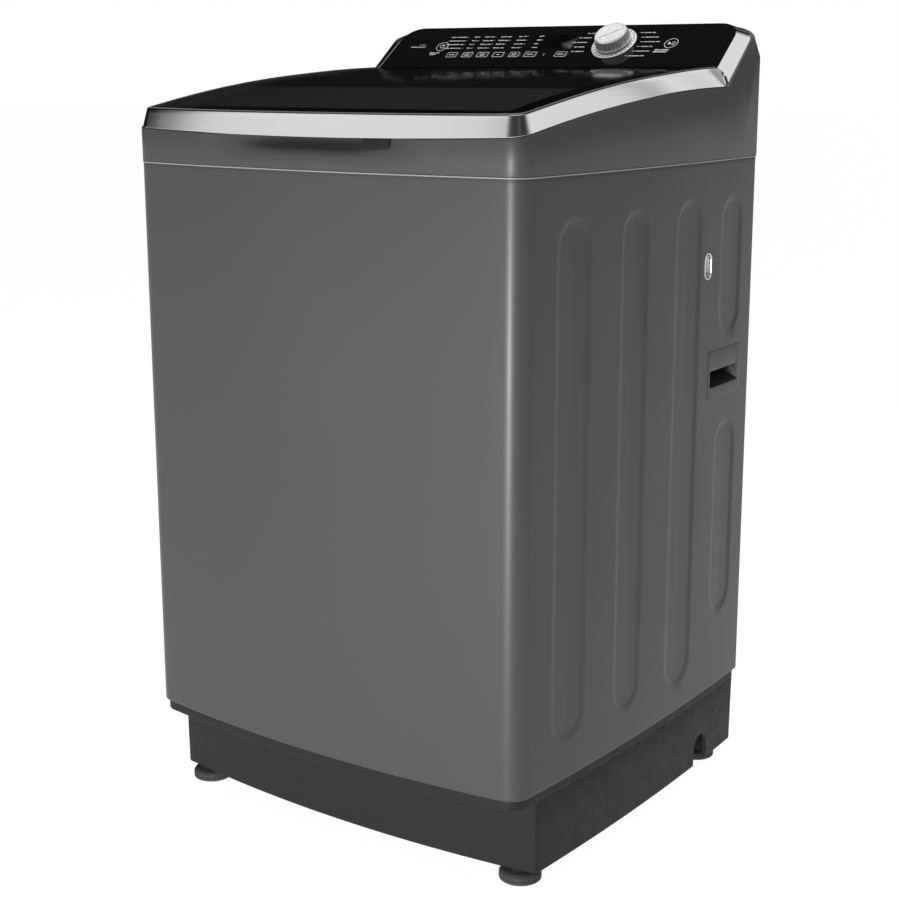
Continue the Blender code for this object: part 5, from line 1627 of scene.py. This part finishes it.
def rear_panel():
    face = Y_REAR - 0.0002
    outline = rounded_rectangle((-0.245, 0.195), (0.245, 0.72), 0.012, 8)
    panel = shape("rear_cover", prism(outline, SHELL_REAR + 0.0012, face, axis=1))
    presses, screws, slots = bmesh.new(), bmesh.new(), bmesh.new()
    for x in (-0.15, -0.075, 0.0, 0.075, 0.15):
        top = 0.64 if x < 0.1 else 0.61
        prism(rounded_rectangle((x - 0.022, 0.3), (x + 0.022, top), 0.0219, 8), face - 0.0005, face + 0.01, 1,
              presses)
    for x in stations(-0.165, 0.165, 22):
        prism(rounded_rectangle((x - 0.0025, 0.222), (x + 0.0025, 0.268), 0.0024, 5), face - 0.01,
              face + 0.01, 1, presses)
    edge_screws = [(x, z) for x in (-0.236, 0.236) for z in (0.207, 0.371, 0.535, 0.708)]
    for x, z in edge_screws + [(0.0, 0.205), (0.0, 0.71)]:
        prism(circle(0.0058, 24, (x, z)), face - 0.0006, face + 0.01, 1, presses)
        head = turned([(0.0, 0.0), (0.0036, 0.0), (0.0042, 0.0002), (0.0043, 0.0008), (0.0, 0.0008)], 24)
        add_to(screws, head, from_back((x, z), face + 0.0001))
        for turn in (0.0, pi / 2):
            bar = box((-0.0026, -0.0005, -0.002), (0.0026, 0.0005, 0.0004))
            add_to(slots, bar, from_back((x, z), face + 0.0001) @ Matrix.Rotation(turn, 4, "Z"))
    cut(panel, presses, prism(circle(0.0085, 32, GLAND_SPOT), 0.27, 0.31, 1))
    soften(panel, 0.0003, 1, 50)
    dress(panel, "paint", "cabinet", ["rear_panel"])
    heads = cut(shape("rear_screws", screws), slots)
    dress(heads, "steel", "cabinet")
    profile = [
        (0.0036, 0.0), (0.0072, 0.0), (0.008, 0.0008), (0.008, 0.003), (0.0074, 0.0036), (0.0074, 0.005),
        (0.008, 0.0056), (0.008, 0.01), (0.0105, 0.0105), (0.0105, 0.0125), (0.01, 0.013), (0.0036, 0.013),
    ]
    gland = shape("gland_body", turned(profile, 40), from_back(GLAND_SPOT, Y_REAR - 0.0004))
    dress(gland, "rubber", "cabinet", ["cord_gland"])


def control_board():
    board = on_face("board_plate", box((-0.205, 0.018, BOARD_TOP - 0.0016), (0.21, 0.066, BOARD_TOP)))
    dress(board, "board", "cabinet", ["control_board"])
    parts, cans = bmesh.new(), bmesh.new()
    box((KNOB_X - 0.008, KNOB_S - 0.008, BOARD_TOP), (KNOB_X + 0.008, KNOB_S + 0.008, -0.0168), bm=parts)
    box((-0.02, 0.046, BOARD_TOP), (0.034, 0.064, -0.012), bm=parts)
    for _, _, x, s in all_keys():
        box((x - 0.003, s - 0.003, BOARD_TOP), (x + 0.003, s + 0.003, -0.0098), bm=parts)
    for x, s, long, wide in (
        (-0.15, 0.05, 0.018, 0.008), (-0.11, 0.05, 0.01, 0.01), (0.05, 0.055, 0.012, 0.006),
        (0.15, 0.03, 0.016, 0.012), (-0.06, 0.05, 0.014, 0.006),
    ):
        box((x - long / 2, s - wide / 2, BOARD_TOP), (x + long / 2, s + wide / 2, -0.0208), bm=parts)
    for x, s in ((0.125, 0.03), (0.137, 0.042), (-0.18, 0.03), (-0.085, 0.056)):
        turned([(0.0, BOARD_TOP), (0.004, BOARD_TOP), (0.004, -0.015), (0.0036, -0.0146), (0.0, -0.0146)], 24,
               (x, s), bm=cans)
    dress(on_face("board_parts", parts), "dots", "cabinet")
    dress(on_face("board_cans", cans), "steel", "cabinet")


# ---- studio
CAMERA_SPOT = (1.2756, -1.7521, 0.9552)
CAMERA_TURN, CAMERA_PITCH, CAMERA_ROLL = radians(36.1), radians(12.98), radians(-0.094)


def camera():
    data = bpy.data.cameras.new("camera")
    data.sensor_width = 36.0
    data.lens = 66.66
    data.clip_end = 50.0
    thing = bpy.data.objects.new("camera", data)
    bpy.context.scene.collection.objects.link(thing)
    aim = Matrix.Rotation(CAMERA_TURN, 4, "Z") @ Matrix.Rotation(pi / 2 - CAMERA_PITCH, 4, "X")
    thing.matrix_world = Matrix.Translation(CAMERA_SPOT) @ aim @ Matrix.Rotation(CAMERA_ROLL, 4, "Z")
    bpy.context.scene.camera = thing


def lamp(name, spot, target, size, power, seen=True):
    """An area lamp. One that isn't seen gives light but no reflection of itself."""
    data = bpy.data.lights.new(name, "AREA")
    data.shape = "RECTANGLE"
    data.size, data.size_y = size
    data.energy = power
    thing = bpy.data.objects.new(name, data)
    thing.visible_glossy = seen
    bpy.context.scene.collection.objects.link(thing)
    thing.location = spot
    thing.rotation_euler = (Vector(target) - Vector(spot)).to_track_quat("-Z", "Y").to_euler()


BANDS = (
    (0, 0.006), (24, 0.006), (27, 0.1), (29.5, 0.45), (33, 0.84), (45, 0.86), (64, 0.84), (72, 0.62),
    (84, 0.26), (98, 0.06), (127, 0.035), (135, 0.06), (142, 0.09), (150, 0.05), (172, 0.03), (186, 0.16),
    (200, 0.66), (214, 0.86), (242, 0.8), (249, 0.42), (254.5, 0.98), (258.5, 0.66), (263, 0.88), (272, 0.75),
    (280, 0.3), (288, 0.012), (360, 0.006),
)
SKIRTING = (
    (0, 0.01), (14, 0.01), (34, 0.42), (110, 0.42), (150, 0.14), (200, 0.06), (270, 0.05), (296, 0.01),
    (360, 0.01),
)


def world():
    """A dim room that reflections see in bright bands by compass direction, with a pale ceiling above."""
    made = bpy.data.worlds.new("studio")
    bpy.context.scene.world = made
    made.use_nodes = True
    made.node_tree.nodes.clear()
    room = Nodes(made.node_tree)
    x, y, z = room.split(room.node("TexCoord", "Generated"))
    turn = room.mapped(room.math("ARCTAN2", y, x), -pi, pi, 0.0, 1.0)

    def ring(stops):
        ramp = room.nodes.new("ShaderNodeValToRGB")
        for i, (degrees, level) in enumerate(stops):
            stop = ramp.color_ramp.elements[i] if i < 2 else ramp.color_ramp.elements.new(degrees / 360)
            stop.position = degrees / 360
            stop.color = (level, level, level, 1.0)
        room.feed(ramp.inputs["Fac"], turn)
        return ramp.outputs["Color"]

    bands = room.math("MULTIPLY", ring(BANDS), room.mapped(z, 0.64, 0.8, 1.0, 0.02))
    walls = {"Factor": room.mapped(z, 0.16, 0.28, 0.0, 1.0), "A": ring(SKIRTING), "B": bands}
    walls = room.node("Mix", "Result", walls, data_type="FLOAT")
    light = room.math("ADD", walls, room.mapped(z, 0.87, 0.95, 0.0, 0.85))
    paths = room.nodes.new("ShaderNodeLightPath").outputs
    light = room.math("MULTIPLY", light, room.mapped(paths["Is Diffuse Ray"], 0.0, 1.0, 1.0, 0.35))
    light = room.math("MAXIMUM", light, paths["Is Camera Ray"])
    surface = room.node("Background", "Background", {"Color": light})
    room.feed(room.nodes.new("ShaderNodeOutputWorld").inputs["Surface"], surface)


# Half sizes and middle of the painted shadow under the machine, where the floor's glow fades out.
SHADOW_HALF_X, SHADOW_HALF_Y, SHADOW_MIDDLE_Y = 0.18, 0.2, 0.05


def floor():
    """A pale floor that glows faintly, so that it stays white, except where the machine stands: there the
    glow fades out, a painted shadow under the machine.
    """
    thing = shape("floor", prism(circle(45.0, 96), -0.012, 0.0))
    look = Look("floor", (0.1, 0.1, 0.1), 0.8, rough=(3.0, 3.0, 0.55, 0.65), Specular_IOR_Level=0.1,
                Emission_Color=(1.0, 1.0, 1.0, 1.0))
    x, y, _ = look.split(look.place)
    # The glow fades to nothing under the machine: a painted shadow.
    past_x = look.math("SUBTRACT", look.math("ABSOLUTE", x), SHADOW_HALF_X)
    past_y = look.math("SUBTRACT", look.math("ABSOLUTE", look.math("SUBTRACT", y, SHADOW_MIDDLE_Y)), SHADOW_HALF_Y)
    glow_past_shadow = look.mapped(look.math("MAXIMUM", past_x, past_y), 0.0, 0.04, 0.0, 0.97,
                       interpolation_type="SMOOTHSTEP")
    look.feed(look.sockets["Emission Strength"], glow_past_shadow)
    thing.data.materials.append(look.material)


def studio():
    camera()
    bpy.context.scene.view_settings.view_transform = "Standard"
    world()
    floor()
    lamp("key", (-0.9, -2.4, 0.3), (0.0, -0.2, 0.2), (1.8, 0.5), 4.5)
    lamp("low_fill", (0.0, -1.3, 0.09), (0.0, -0.29, 0.22), (1.3, 0.12), 7.0, seen=False)
    lamp("overhead", (0.0, -0.2, 2.6), (0.0, 0.0, 0.5), (1.6, 1.6), 85.0, seen=False)
    lamp("corner_strip", (0.8, -2.5, 0.3), (0.27, -0.25, 0.4), (0.36, 0.6), 55.0)


studio()
cabinet()
base()
feet()
top_cover()
lid()
console_panel()
console_marks()
push_keys()
knob()
console_trim()
handles()
hose_hook()
outer_tub()
tub_cover()
drive()
drain_valve()
basket()
pulsator()
suspension()
drain_hose()
drain_outlet()
detergent()
inlet()
rear_panel()
control_board()
